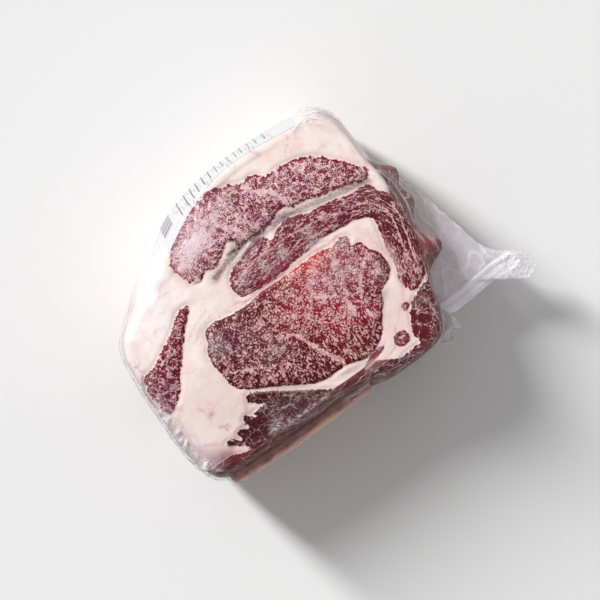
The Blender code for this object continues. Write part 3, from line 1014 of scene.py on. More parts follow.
        # Curls: strokes of lean along the contour lines of a smooth field
        smooth = g.add("TexNoise", {"Vector": wound, "Scale": 1.0 / self.curl_mm, "Detail": 1.0})
        off = g.add("Math", {0: smooth, 1: 0.5}, operation="SUBTRACT")
        curls = g.add("Math", {0: off}, operation="ABSOLUTE")
        curls = g.add("MapRange", {"Value": curls, LOW: 0.0, HIGH: 0.2, TO_LOW: -1.0, TO_HIGH: 1.3})
        clumps = g.add("TexNoise", {"Vector": wound, "Scale": 1.0 / self.clump_mm, "Detail": 1.5})
        clumps = g.add("MapRange", {"Value": clumps, LOW: 0.3, HIGH: 0.7, TO_LOW: -0.7, TO_HIGH: 0.7})
        curls = g.add("Math", {0: curls, 1: clumps})
        side = g.add("MapRange", {"Value": off, LOW: -0.03, HIGH: 0.03})

        curly = g.add("Attribute", out="Fac", attribute_name="curly")
        amount = g.add("Mix", {"Factor": curly, 2: net, 3: curls})
        patches = g.add("TexNoise", {"Vector": grain, "Scale": 1.0 / self.patch_mm, "Detail": 2.0})
        patches = g.add("MapRange", {"Value": patches, LOW: 0.3, HIGH: 0.7, TO_LOW: -0.16, TO_HIGH: 0.16})
        # Lean lies closer together just inside a muscle's edge
        edge = g.add("MapRange", {"Value": lean, LOW: 0.5, HIGH: 2.2, TO_LOW: -0.9, TO_HIGH: 0.0})
        marbling = g.add("Attribute", out="Fac", attribute_name="marbling")
        for part in (patches, marbling, edge):
            amount = g.add("Math", {0: amount, 1: part})
        return amount, side

    def seams(self, g: Graph, grain: bpy.types.NodeSocket, wound: bpy.types.NodeSocket,
              amount: bpy.types.NodeSocket) -> bpy.types.NodeSocket:
        """Adds the veins between bundles of fibres, wider in places and missing in others.

        Args:
            g: The material's nodes.
            grain: Coordinates that the marbling follows.
            wound: The same, bent by noise.
            amount: How strongly the meat is marbled.

        Returns:
            How far each point is vein, from 0 to 1.
        """
        bundles = g.add("Attribute", out="Fac", attribute_name="bundles")
        broad = self.pushed(g, wound, 0.14, 2.5, 8.0)
        gaps = g.add("TexVoronoi", {"Vector": broad, "Scale": 1.0 / self.bundle_mm},
                     feature="DISTANCE_TO_EDGE")
        width = g.add("TexNoise", {"Vector": grain, "Scale": 0.2, "Detail": 1.0})
        width = g.add("MapRange", {"Value": width, LOW: 0.35, HIGH: 0.65, TO_LOW: -0.01, TO_HIGH: 0.07})
        width = g.add("Math", {0: width, 1: bundles}, operation="MULTIPLY")
        gaps = g.add("Math", {0: width, 1: gaps}, operation="SUBTRACT")
        gaps = g.add("MapRange", {"Value": gaps, LOW: -0.03, HIGH: 0.03}, interpolation_type="SMOOTHSTEP")
        pale = g.add("MapRange", {"Value": amount, LOW: 1.1, HIGH: 1.7})
        return g.add("Math", {0: gaps, 1: pale}, operation="MAXIMUM")

    def fat(self, g: Graph) -> bpy.types.NodeSocket:
        """Adds the colour of fat: pink clouds, and fine blood vessels across it.

        Args:
            g: The material's nodes.

        Returns:
            The colour.
        """
        place = g.add("TexCoord", out="Object")
        place = g.add("VectorMath", {0: place, "Scale": 1000.0}, operation="SCALE")
        cloud = g.add("TexNoise", {"Vector": place, "Scale": 1.0 / self.cloud_mm, "Detail": 4.0})
        cloud = g.add("MapRange", {"Value": cloud, LOW: 0.42, HIGH: 0.72, TO_LOW: 0.0, TO_HIGH: 0.6})
        fat_tone = g.add("Attribute", out="Color", attribute_name="fat_tone")
        fat = g.add("Mix", {"Factor": cloud, SHADE_A: fat_tone, SHADE_B: linear(self.blush)},
                    2, data_type="RGBA")
        bent = self.pushed(g, place, 0.12, 2.0, 9.0)
        vessel = g.add("TexVoronoi", {"Vector": bent, "Scale": 1.0 / self.vessel_mm},
                       feature="DISTANCE_TO_EDGE")
        vessel = g.add("MapRange", {"Value": vessel, LOW: 0.0, HIGH: 0.05, TO_LOW: 1.0, TO_HIGH: 0.0})
        thin = g.add("TexNoise", {"Vector": place, "Scale": 0.07, "Detail": 1.0})
        thin = g.add("MapRange", {"Value": thin, LOW: 0.5, HIGH: 0.62, TO_LOW: 0.0, TO_HIGH: 0.4})
        vessel = g.add("Math", {0: vessel, 1: thin}, operation="MULTIPLY")
        return g.add("Mix", {"Factor": vessel, SHADE_A: fat, SHADE_B: linear(self.vessel)},
                     SHADE_OUT, data_type="RGBA")

    def pushed(self, g: Graph, place: bpy.types.NodeSocket, scale: float, detail: float,
               reach: float) -> bpy.types.NodeSocket:
        """Coordinates pushed about by noise.

        Args:
            g: The material's nodes.
            place: The coordinates.
            scale: The noise's scale.
            detail: Its detail.
            reach: Twice the furthest push.

        Returns:
            The pushed coordinates.
        """
        push = g.add("TexNoise", {"Vector": place, "Scale": scale, "Detail": detail}, "Color")
        push = g.add("VectorMath", {0: push, 1: (0.5, 0.5, 0.5)}, operation="SUBTRACT")
        push = g.add("VectorMath", {0: push, "Scale": reach}, operation="SCALE")
        return g.add("VectorMath", {0: place, 1: push})


@dataclass(frozen=True)
class RibBone:
    """Rib bone scraped by the knife: peach outside, tan and bloody where meat was cut away."""

    bone: str = "EEC0A6"
    tan: str = "B47C6E"
    skin: str = "84423C"
    blood: str = "743436"
    roughness: float = 0.45

    def material(self) -> bpy.types.Material:
        """Builds the material: streaks 2 mm wide and 20 mm long.

        Returns:
            The material.
        """
        g = Graph("scraped_rib_bone")
        outer = g.add("Attribute", out="Fac", attribute_name="outer")
        place = g.add("TexCoord", out="Object")
        long = g.add("Mapping", {"Vector": place, "Scale": (60.0, 500.0, 500.0)})
        streak = g.add("TexNoise", {"Vector": long, "Scale": 1.0, "Detail": 3.0})
        streak = g.add("MapRange", {"Value": streak, LOW: 0.35, HIGH: 0.65})
        stain = g.add("TexNoise", {"Vector": place, "Scale": 110.0, "Detail": 3.0})
        stain = g.add("Math", {0: outer, 1: -0.22, 2: stain}, operation="MULTIPLY_ADD")
        stain = g.add("MapRange", {"Value": stain, LOW: 0.38, HIGH: 0.72})
        base = g.add("Mix", {"Factor": outer, SHADE_A: linear(self.tan), SHADE_B: linear(self.bone)},
                     2, data_type="RGBA")
        streak = g.add("Math", {0: streak, 1: 0.45}, operation="MULTIPLY")
        mixed = g.add("Mix", {"Factor": streak, SHADE_A: base, SHADE_B: linear(self.skin)},
                      2, data_type="RGBA")
        mixed = g.add("Mix", {"Factor": stain, SHADE_A: mixed, SHADE_B: linear(self.blood)},
                      2, data_type="RGBA")
        bump = g.add("Bump", {"Height": streak, "Distance": 0.0003, "Strength": 0.6})
        return g.finish(g.add("BsdfPrincipled", {"Base Color": mixed, "Normal": bump,
                                                 "Roughness": self.roughness}))


@dataclass(frozen=True)
class BagFilm:
    """Clear multilayer vacuum-bag film: glossy, almost colourless, milky where it is creased.

    The stored "lie" gives the coordinates, in millimetres, in which its creases have no
    direction of their own, "crease" how creased it is and "mist" how milky, in places as painted glare.
    """

    name: str = "clear_vacuum_film"
    milk: str = "EEE9EE"
    base_haze: float = 0.0          # milkiness of smooth film
    bubble_mm: float = 1.05         # size of the bubbles that it is milky in
    bubble_low: float = 0.16        # milkiness between them, against in them
    crease_haze: float = 0.75       # and of the ridge of a crease
    roughness: float = 0.20
    face_gloss: float = 0.007       # mirrored share seen straight on: two faces of polyamide
    edge_gloss: float = 0.13        # and seen along the surface

    def material(self) -> bpy.types.Material:
        """Builds the material: what lies under it shows, with the film's own gloss over it.

        Returns:
            The material.
        """
        g = Graph(self.name)
        crease = g.add("Attribute", out="Fac", attribute_name="crease")
        mist_and_glare = g.add("Attribute", out="Fac", attribute_name="mist_and_glare")
        lie = g.add("Attribute", out="Vector", attribute_name="lie")
        lines = self.crease_lines(g, lie)
        lines = g.add("Math", {0: lines, 1: crease}, operation="MULTIPLY")

        # Where the film lets go of the meat it does so in small bubbles and strokes
        bubbles = g.add("TexNoise", {"Vector": lie, "Scale": 1.0 / self.bubble_mm,
                                     "Detail": 2.0})
        bubbles = g.add("MapRange", {"Value": bubbles, LOW: 0.42, HIGH: 0.60,
                                     TO_LOW: self.bubble_low, TO_HIGH: 1.0},
                        interpolation_type="SMOOTHSTEP")
        # and where it is milkiest, all over
        even = g.add("MapRange", {"Value": mist_and_glare, LOW: 0.5, HIGH: 0.9})
        solid = g.add("Mix", {"Factor": even, 2: bubbles, 3: 1.0})
        milky = g.add("Math", {0: mist_and_glare, 1: solid}, operation="MULTIPLY")
        haze = g.add("Math", {0: lines, 1: self.crease_haze, 2: self.base_haze},
                     operation="MULTIPLY_ADD")
        haze = g.add("Math", {0: haze, 1: milky}, use_clamp=True)

        fine = g.add("TexNoise", {"Vector": lie, "Scale": 0.26, "Detail": 3.0})
        height = g.add("Math", {0: fine, 1: 0.25, 2: lines}, operation="MULTIPLY_ADD")
        bump = g.add("Bump", {"Height": height, "Distance": 0.0008, "Strength": 0.6})
        clear = g.add("BsdfTransparent", {"Color": (1.0, 1.0, 1.0, 1.0)})
        milk = g.add("BsdfDiffuse", {"Color": linear(self.milk), "Normal": bump})
        body = g.add("MixShader", {0: haze, 1: clear, 2: milk})
        shine = g.add("BsdfGlossy", {"Color": (1.0, 1.0, 1.0, 1.0), "Roughness": self.roughness,
                                     "Normal": bump})
        # Schlick's law from the angle alone, so that light coming out is let through as well
        angle = g.add("LayerWeight", {"Blend": 0.5, "Normal": bump}, "Facing")
        angle = g.add("Math", {0: angle, 1: 5.0}, operation="POWER")
        edge = g.add("MapRange", {"Value": angle, LOW: 0.0, HIGH: 1.0, TO_LOW: self.face_gloss,
                                  TO_HIGH: self.edge_gloss})
        return g.finish(g.add("MixShader", {0: edge, 1: body, 2: shine}))

    def crease_lines(self, g: Graph, lie: bpy.types.NodeSocket) -> bpy.types.NodeSocket:
        """Adds thin straight-sided creases about 9 mm apart, and finer ones between them.

        Args:
            g: The material's nodes.
            lie: Coordinates that the creases follow.

        Returns:
            How sharply each point is creased, from 0 to 1.
        """
        push = g.add("TexNoise", {"Vector": lie, "Scale": 0.09, "Detail": 2.0}, "Color")
        push = g.add("VectorMath", {0: push, "Scale": 9.0}, operation="SCALE")
        bent = g.add("VectorMath", {0: lie, 1: push})
        found = None
        for gap, width, strength in ((9.0, 0.035, 1.0), (4.0, 0.05, 0.3)):
            cells = g.add("TexVoronoi", {"Vector": bent, "Scale": 1.0 / gap},
                          feature="DISTANCE_TO_EDGE")
            cells = g.add("MapRange", {"Value": cells, LOW: 0.0, HIGH: width,
                                       TO_LOW: strength, TO_HIGH: 0.0},
                          interpolation_type="SMOOTHSTEP")
            broken = g.add("TexNoise", {"Vector": lie, "Scale": 0.8 / gap, "Detail": 1.0})
            broken = g.add("MapRange", {"Value": broken, LOW: 0.42, HIGH: 0.58})
            cells = g.add("Math", {0: cells, 1: broken}, operation="MULTIPLY")
            found = cells if found is None else g.add("Math", {0: found, 1: cells},
                                                      operation="MAXIMUM")
        return found


@dataclass(frozen=True)
class LabelPaper:
    """Coated white label paper with plain grey printed bars in place of any words."""

    paper: str = "D4D2D5"
    ink: str = "3A363C"
    roughness: float = 0.4

    def material(self) -> bpy.types.Material:
        """Builds the material: bars across the label, at the places stored as "print".

        Returns:
            The material.
        """
        g = Graph("coated_label_paper")
        ink = g.add("Attribute", out="Fac", attribute_name="print")
        place = g.add("TexCoord", out="Object")
        fibre = g.add("TexNoise", {"Vector": place, "Scale": 900.0, "Detail": 2.0})
        bump = g.add("Bump", {"Height": fibre, "Distance": 0.00005, "Strength": 0.5})
        mixed = g.add("Mix", {"Factor": ink, SHADE_A: linear(self.paper), SHADE_B: linear(self.ink)},
                      2, data_type="RGBA")
        return g.finish(g.add("BsdfPrincipled", {"Base Color": mixed, "Normal": bump,
                                                 "Roughness": self.roughness}))


@dataclass(frozen=True)
class StudioFloor:
    """Matt painted board, pale grey."""

    paint: str = "E8E8E8"
    roughness: float = 0.9

    def material(self) -> bpy.types.Material:
        """Builds the floor's plain material."""
        g = Graph("matt_floor_paint")
        return g.finish(g.add("BsdfPrincipled", {"Base Color": linear(self.paint),
                                                 "Roughness": self.roughness,
                                                 "Specular IOR Level": 0.0}))


# ------------------------------------------------------------------ the pieces


@dataclass
class Beef:
    """The meat and fat of the roast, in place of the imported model's plain solid."""

    face_size: float = 0.0021       # metres, and half that on the cut face
    smoothing: int = 3
    groove_mm: float = 0.7          # depth of the seams between muscle and fat
    groove_width_mm: float = 1.4    # and half their width
    grooved: int = 6                # how many of the muscles are large enough to have them
    lump_mm: float = 0.8            # height of the broad lumps in the fat
    grit_mm: float = 0.25           # and of the small ones
    finish: RawBeef = field(default_factory=RawBeef)

    def build(self) -> bpy.types.Object:
        """Builds the meat, shapes its surface and dresses it.

        Returns:
            The new piece, which stands for the roast.
        """
        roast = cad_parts["roast"]
        anatomy = Anatomy.from_roast(roast)
        piece = reskinned([roast], "beef", self.face_size, self.smoothing)
        refined(piece, FINE_ABOVE)
        self.shape(piece, anatomy)
        anatomy.dress(piece)
        piece.data.materials.append(self.finish.material())
        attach(piece, BODY)
        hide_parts("roast")
        return piece

    def shape(self, piece: bpy.types.Object, anatomy: Anatomy) -> None:
        """Presses the seams in, makes the fat uneven and stands the chine lobes out.

        Args:
            piece: The beef's mesh, changed in place.
            anatomy: Where the muscles lie.
        """
        places, normals = vertices_of(piece)
        flat = anatomy.lookup(places)
        sink = self.lump_mm * (0.5 + 0.5 * wander(places, 16.0, 3.0))
        sink += self.grit_mm * (0.5 + 0.5 * wander(places, 4.0, 4.0))
        for muscle in MUSCLES[:self.grooved]:
            edge = depth_inside(flat, curve_through(muscle.outline, True))
            sink += self.groove_mm * np.exp(-((edge + 0.6) / self.groove_width_mm) ** 2)
        sink *= ramp(places[:, 2], 0.0, 4.0)
        # Nothing sinks where the label lies
        beyond = np.hypot(places[:, 0], places[:, 1]) - anatomy.rim(places)
        sink *= 1.0 - ramp(beyond, -7.0, -4.0) * ramp(places[:, 1], 46.0, 54.0)
        place_vertices(piece, swollen(places - normals * sink[:, None]))


@dataclass
class Ribs:
    """The rib bones that show at the front."""

    names: tuple[str, ...] = ("rib_1", "rib_2", "rib_3")
    face_size: float = 0.0011
    smoothing: int = 4
    lump_mm: float = 0.5
    cut_side: float = -93.5         # Y up to which meat was cut from the bone
    outer_side: float = -99.0       # and from which it is scraped clean
    finish: RibBone = field(default_factory=RibBone)

    def build(self) -> list[bpy.types.Object]:
        """Builds a finer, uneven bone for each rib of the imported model.

        Returns:
            The bones, lowest first.
        """
        look = self.finish.material()
        made = []
        for number, name in enumerate(self.names, start=1):
            piece = reskinned([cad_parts[name]], f"rib_bone_{number}", self.face_size,
                              self.smoothing)
            places, normals = vertices_of(piece)
            long = places * np.array((0.35, 1.0, 1.0))
            sink = self.lump_mm * (0.5 + 0.5 * wander(long, 6.0, 10.0 + number))
            place_vertices(piece, places - normals * sink[:, None])
            store(piece, "outer", ramp(places[:, 1], self.cut_side, self.outer_side))
            piece.data.materials.append(look)
            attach(piece, BODY)
            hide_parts(name)
            made.append(piece)
        return made


@dataclass
class VacuumFilm:
    """The clear bag, drawn tight over meat and ribs."""

    face_size: float = 0.0024       # metres, and half that on the cut face
    gap_mm: float = 0.55            # between the meat and the film
    bridging: int = 10              # how far the film spans hollows
    wall_fold_mm: float = 1.2       # height of the folds down the walls
    rim_fold_mm: float = 0.9        # of the folds along the rim
    face_fold_mm: float = 0.25      # and of the small ones on the cut face
    lie_radius_mm: float = 34.0     # a third of the roast's own, so that creases run long
    finish: BagFilm = field(default_factory=BagFilm)

    def build(self) -> bpy.types.Object:
        """Builds the film over the roast and its ribs.

        Returns:
            The new piece.
        """
        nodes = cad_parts
        inside = [nodes["roast"], nodes["rib_1"], nodes["rib_2"], nodes["rib_3"]]
        piece = reskinned(inside, "vacuum_film", self.face_size, self.bridging)
        refined(piece, FINE_ABOVE)
        core = joined_copy(inside, "film_core")
        surface = bmesh.new()
        surface.from_mesh(core.data)
        tree = BVHTree.FromBMesh(surface)
        surface.free()
        bpy.data.objects.remove(core)
        places, _ = vertices_of(piece)
        places = swollen(self.lifted(places, tree))
        place_vertices(piece, places)
        places, normals = vertices_of(piece)
        anatomy = Anatomy.from_roast(nodes["roast"])
        fold, crease = self.folds(places, normals, anatomy)
        mist_and_glare = self.milkiness_and_glare(places, anatomy)
        store(piece, "crease", crease)
        store(piece, "mist_and_glare", mist_and_glare)
        store(piece, "lie", self.lie(places))
        places = places + normals * fold[:, None]
        places[:, 2] = np.maximum(places[:, 2], 0.0)
        place_vertices(piece, places)
        piece.data.materials.append(self.finish.material())
        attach(piece, BODY)
        return piece

    def lifted(self, places: np.ndarray, tree: BVHTree) -> np.ndarray:
        """Pushes every place out until the film clears what lies under it.

        Args:
            places: Places on the surface, in millimetres.
            tree: The surface that lies under the film.

        Returns:
            The moved places.
        """
        out = places.copy()
        for i, place in enumerate(places.tolist()):
            hit, normal, _, _ = tree.find_nearest(Vector(place) * MM)
            clear = (Vector(place) * MM - hit).dot(normal) / MM
            if clear < self.gap_mm:
                out[i] += np.array(normal) * (self.gap_mm - clear)
        return out

    def lie(self, places: np.ndarray) -> np.ndarray:
        """Coordinates whose creases run along the rim and level round the walls.

        Args:
            places: Places on the surface, in millimetres.

        Returns:
            Three coordinates for each place.
        """
        angles = np.arctan2(places[:, 1], places[:, 0])
        level = np.column_stack([np.cos(angles), np.sin(angles)]) * self.lie_radius_mm
        out = np.hypot(places[:, 0], places[:, 1]) - 0.8 * places[:, 2]
        return np.column_stack([level, out])

    def rim_share(self, places: np.ndarray, anatomy: Anatomy) -> np.ndarray:
        """How creased the rim is at each place: most at the flank end and the corners.

        Args:
            places: Places on the surface, in millimetres.
            anatomy: Where the muscles lie.

        Returns:
            A share for each place.
        """
        beyond = np.hypot(places[:, 0], places[:, 1]) - anatomy.rim(places)
        near = ramp(beyond, -9.0, -2.0) * ramp(places[:, 2], 88.0, 100.0)
        flank = ramp(places[:, 0], -92.0, -106.0) * ramp(places[:, 1], 50.0, 34.0)
        corner = 0.10 * ramp(places[:, 0], -78.0, -92.0) * ramp(places[:, 1], -58.0, -70.0)
        back = ramp(places[:, 0], 66.0, 76.0) * ramp(places[:, 1], 62.0, 74.0)
        chine = 0.12 * ramp(places[:, 0], 92.0, 99.0)
        front = 0.35 * ramp(places[:, 1], -74.0, -80.0)
        most = np.max([flank, corner, back, chine, front,
                       np.full(len(places), 0.12)], axis=0)
        return near * most

    def folds(self, places: np.ndarray, normals: np.ndarray,
              anatomy: Anatomy) -> tuple[np.ndarray, np.ndarray]:
        """Height of the folds at each place, and how sharply the film is creased there.

        Args:
            places: Places on the surface, in millimetres.
            normals: The surface's directions there.
            anatomy: Where the muscles lie.

        Returns:
            The heights, in millimetres, and the sharpness.
        """
        wall = ramp(normals[:, 2], 0.9, 0.45)
        labelled = ramp(places[:, 1], 55.0, 62.0) * ramp(places[:, 0], -56.0, -50.0)
        labelled *= ramp(places[:, 0], 88.0, 82.0) * wall
        tall = places * np.array((1.0, 1.0, 0.35))
        slant = places * np.array((0.8, 0.8, 0.5)) + places[:, [2, 2, 0]] * 0.3
        pleats = creases(tall, 11.0, 21.0, 6.0) + 0.7 * creases(slant, 8.0, 22.0, 7.0)
        ripples = creases(places, 7.0, 23.0, 7.0)
        where = 0.5 + 0.5 * wander(places, 40.0, 24.0)
        free = 1.0 - 0.92 * labelled
        clear = np.maximum(ramp(places[:, 0], 84.0, 96.0), ramp(places[:, 1], -80.0, -90.0))
        amount = wall * free * (0.35 + 0.65 * where) * (1.0 - 0.7 * clear)
        rim = self.rim_share(places, anatomy) * free
        lie = self.lie(places)
        along = creases(lie, 4.5, 25.0, 3.0) + creases(lie, 2.6, 26.0, 3.0)
        fold = self.wall_fold_mm * pleats * amount + self.face_fold_mm * ripples * (1.0 - wall)
        fold += self.rim_fold_mm * along * rim
        crease = 0.30 * amount + 0.25 * pleats * amount + 0.9 * rim + 0.02 * (1.0 - wall)
        crease *= 1.0 - 0.9 * ramp(places[:, 0], 90.0, 97.0)
        return fold, np.clip(crease, 0.0, 1.0)

    def milkiness_and_glare(self, places: np.ndarray, anatomy: Anatomy) -> np.ndarray:
        """How milky the film is at each place, with its glints and glare painted in as milk.

        Args:
            places: Places on the surface, in millimetres.
            anatomy: Where the muscles lie.

        Returns:
            A share from 0 to 1 for each place.
        """
        flat = places[:, :2]
        top = ramp(places[:, 2], 88.0, 104.0)
        mist_and_glare = np.zeros(len(places))
        for zone in MIST_AND_GLARE_ZONES:
            mist_and_glare = np.maximum(mist_and_glare, zone.mist_and_glare * zone.weight(flat) * top)
        # The glints on its folds are painted in as milk: painted highlights
        for glint in GLINTS:
            mist_and_glare = np.maximum(mist_and_glare, glint.weight(flat) * top)
        # Short strokes across the rim where the film is gathered at the flank end
        angles = np.arctan2(places[:, 1], places[:, 0])
        out = np.hypot(places[:, 0], places[:, 1])
        gathers = np.column_stack([np.cos(angles) * 105.0, np.sin(angles) * 105.0, out * 0.3])
        strokes = creases(gathers, 5.0, 27.0, 4.0) + creases(gathers, 2.8, 28.0, 4.0)
        rim = self.rim_share(places, anatomy)
        gathered = rim * ramp(places[:, 0], -84.0, -98.0) * ramp(places[:, 1], -14.0, -30.0)
        gathered *= ramp(places[:, 1], -82.0, -74.0)
        return np.clip(mist_and_glare + 0.10 * rim + 0.7 * strokes * gathered, 0.0, 1.0)


@dataclass
class BagTail:
    """The bag's loose end: a flat fin with a folded ribbon along its front edge."""

    face_size: float = 0.0007
    smoothing: int = 8
    ribbon: Outline = ((92, -81), (115, -81), (138, -79), (152, -80))
    stripes: Outline = ((-5.6, 0.6), (-1.4, 0.3), (3.3, 0.8))       # place across, and share
    outer_edge: Outline = ((113, 36), (122, 18), (130, -8), (136, -34), (141, -56))
    lie_turn: float = -35.0         # degrees by which its creases are turned
    # Its milk is whiter than the main film's, as painted light for the ribbon that lies in the roast's
    # shadow
    finish: BagFilm = field(default_factory=lambda: BagFilm(
        "loose_bag_film", "FAF6FA", base_haze=0.12, crease_haze=0.22, bubble_mm=9.0,
        bubble_low=0.65))

    def build(self) -> bpy.types.Object:
        """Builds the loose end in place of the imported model's plain sheet.

        Returns:
            The new piece.
        """
        piece = reskinned([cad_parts["bag_tail"]], "bag_tail_film", self.face_size,
                          self.smoothing)
        places, _ = vertices_of(piece)
        rise, crease, mist_and_glare = self.folds(places)
        places[:, 2] += rise
        places = self.scalloped(places)
        place_vertices(piece, places)
        turn = math.radians(self.lie_turn)
        across = places[:, 0] * math.cos(turn) - places[:, 1] * math.sin(turn)
        along = places[:, 0] * math.sin(turn) + places[:, 1] * math.cos(turn)
        store(piece, "lie", np.column_stack([across * 0.8, along * 0.8, places[:, 2]]))
        store(piece, "crease", np.clip(crease, 0.0, 1.0))
        store(piece, "mist_and_glare", np.clip(mist_and_glare, 0.0, 1.0))
        piece.data.materials.append(self.finish.material())
        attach(piece, BODY)
        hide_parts("bag_tail")
        return piece

    def folds(self, places: np.ndarray) -> tuple[np.ndarray, np.ndarray, np.ndarray]:
        """How far the film rises at each place, how creased it is and how milky.

        Args:
            places: Places on the surface, in millimetres.

        Returns:
            The rise in millimetres, and the two shares.
        """
        flat = places.copy()
        flat[:, 2] = 0.0
        along, beside = along_line(flat[:, :2], curve_through(self.ribbon, False))
        near = ramp(np.abs(beside), 8.0, 5.0) * ramp(along, 75.0, 58.0)
        stripes = sum(share * np.exp(-((beside - place) / 0.7) ** 2)
                      for place, share in self.stripes)
        upper = np.exp(-((beside - 5.0) / 1.2) ** 2)
        end = ramp(flat[:, 0], 141.0, 149.0) * ramp(flat[:, 1], -58.0, -64.0)
        crumple = creases(flat, 6.0, 31.0, 4.0) + creases(flat, 3.5, 32.0, 4.0)
        fin = (1.0 - near) * (1.0 - end)
        long = flat * np.array((1.0, 0.4, 1.0))
        faint = creases(long, 9.0, 33.0, 8.0)
        cloud = 0.5 + 0.5 * wander(flat, 14.0, 34.0)
        rise = (0.7 * stripes + 1.0 * upper) * near + 0.35 * crumple * end + 0.6 * faint * fin
        crease = 0.25 * near + end * 0.8 + 0.6 * fin
        # The ribbon is the milkiest, partly painted light where it lies in the roast's shadow
        mist_and_glare = near * (0.80 + 0.3 * stripes + 0.35 * upper) + end * (0.26 + 0.2 * crumple)
        mist_and_glare += fin * (0.34 + 0.10 * cloud + 0.45 * faint)
        return rise, crease, mist_and_glare

    def scalloped(self, places: np.ndarray) -> np.ndarray:
        """Draws the fin's outer edge in here and there, as a torn and folded edge is.

        Args:
            places: Places on the surface, in millimetres.

        Returns:
            The moved places.
        """
        along, beside = along_line(places[:, :2], curve_through(self.outer_edge, False))
        steps = np.column_stack([along, np.zeros(len(along)), np.zeros(len(along))])
        notch = np.clip(wander(steps, 9.0, 35.0), 0.0, 1.0) * 3.0
        notch += np.clip(wander(steps, 3.5, 36.0), 0.0, 1.0) * 1.2
        pull = notch * np.exp(-np.abs(beside) / 3.0) * ramp(along, 0.0, 12.0)
        pull *= ramp(along, 92.0, 80.0)
        out = places.copy()
        out[:, 0] -= 0.95 * pull
        out[:, 1] -= 0.3 * pull
        return out


@dataclass
class FilmRuffle:
    """A crumpled flange of spare film that stands out at the front of the chine side."""

    root: Outline = ((86, -76), (89, -84), (85, -92), (76, -99))
    middle: Point = (62.0, -62.0)   # what the flange points away from
    reach_mm: float = 9.0
    level_mm: float = 84.0
    columns: int = 64
    rows: int = 22
    thickness_mm: float = 0.3
    sunk_mm: float = 1.5            # how far its root lies inside the film
    wave_mm: float = 3.2            # height of the waves at its outer edge
    # Its milk is whiter than the main film's, as painted light: the flange lies in the roast's shadow
    finish: BagFilm = field(default_factory=lambda: BagFilm(
        "ruffled_bag_film", "FAF6FA", base_haze=0.16, crease_haze=0.6, bubble_mm=3.0,
        bubble_low=0.6))

    def build(self) -> bpy.types.Object:
        """Builds the flange on the film's wall.

        Returns:
            The new piece.
        """
        root = curve_through(self.root, False, 0.4)
        picks = np.linspace(0, len(root) - 1, self.columns)
        root = np.column_stack([np.interp(picks, np.arange(len(root)), c) for c in root.T])
        places = []
        for i, (x, y) in enumerate(root):
            share = i / (self.columns - 1)
            away = np.array((x - self.middle[0], y - self.middle[1]))
            away /= np.linalg.norm(away)
            reach = self.reach_mm * (0.25 + 0.75 * math.sin(math.pi * share) ** 0.7)
            reach *= 1.0 + 0.22 * math.sin(share * 17.0) + 0.10 * math.sin(share * 41.0)
            for j in range(self.rows):
                out = j / (self.rows - 1)
                wave = self.wave_mm * out * math.sin(share * 23.0 + out * 1.5)
                wave += 1.2 * math.sin(share * 9.0 + out * 7.0)
                flat = np.array((x, y)) + away * (out * reach - self.sunk_mm)
                places.append((flat[0], flat[1], self.level_mm + wave + 5.0 * out))
        tall = self.rows
        faces = [(c * tall + r, (c + 1) * tall + r, (c + 1) * tall + r + 1, c * tall + r + 1)
                 for c in range(self.columns - 1) for r in range(tall - 1)]
        places = np.array(places)
        out = np.tile(np.linspace(0.0, 1.0, self.rows), self.columns)
        piece = mesh_object("film_ruffle", places * MM, faces)
        rim = np.exp(-((1.0 - out) / 0.08) ** 2)
        store(piece, "lie", places * np.array((0.7, 0.7, 0.9)))
        store(piece, "crease", np.full(len(out), 0.5))
        # Its outer edge is milkiest, partly painted highlight where it would catch the lamp
        store(piece, "mist_and_glare", 0.30 + 0.65 * rim)
        solid = piece.modifiers.new("thickness", "SOLIDIFY")
        solid.thickness = self.thickness_mm * MM
        piece.data.materials.append(self.finish.material())
        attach(piece, BODY)
        return piece


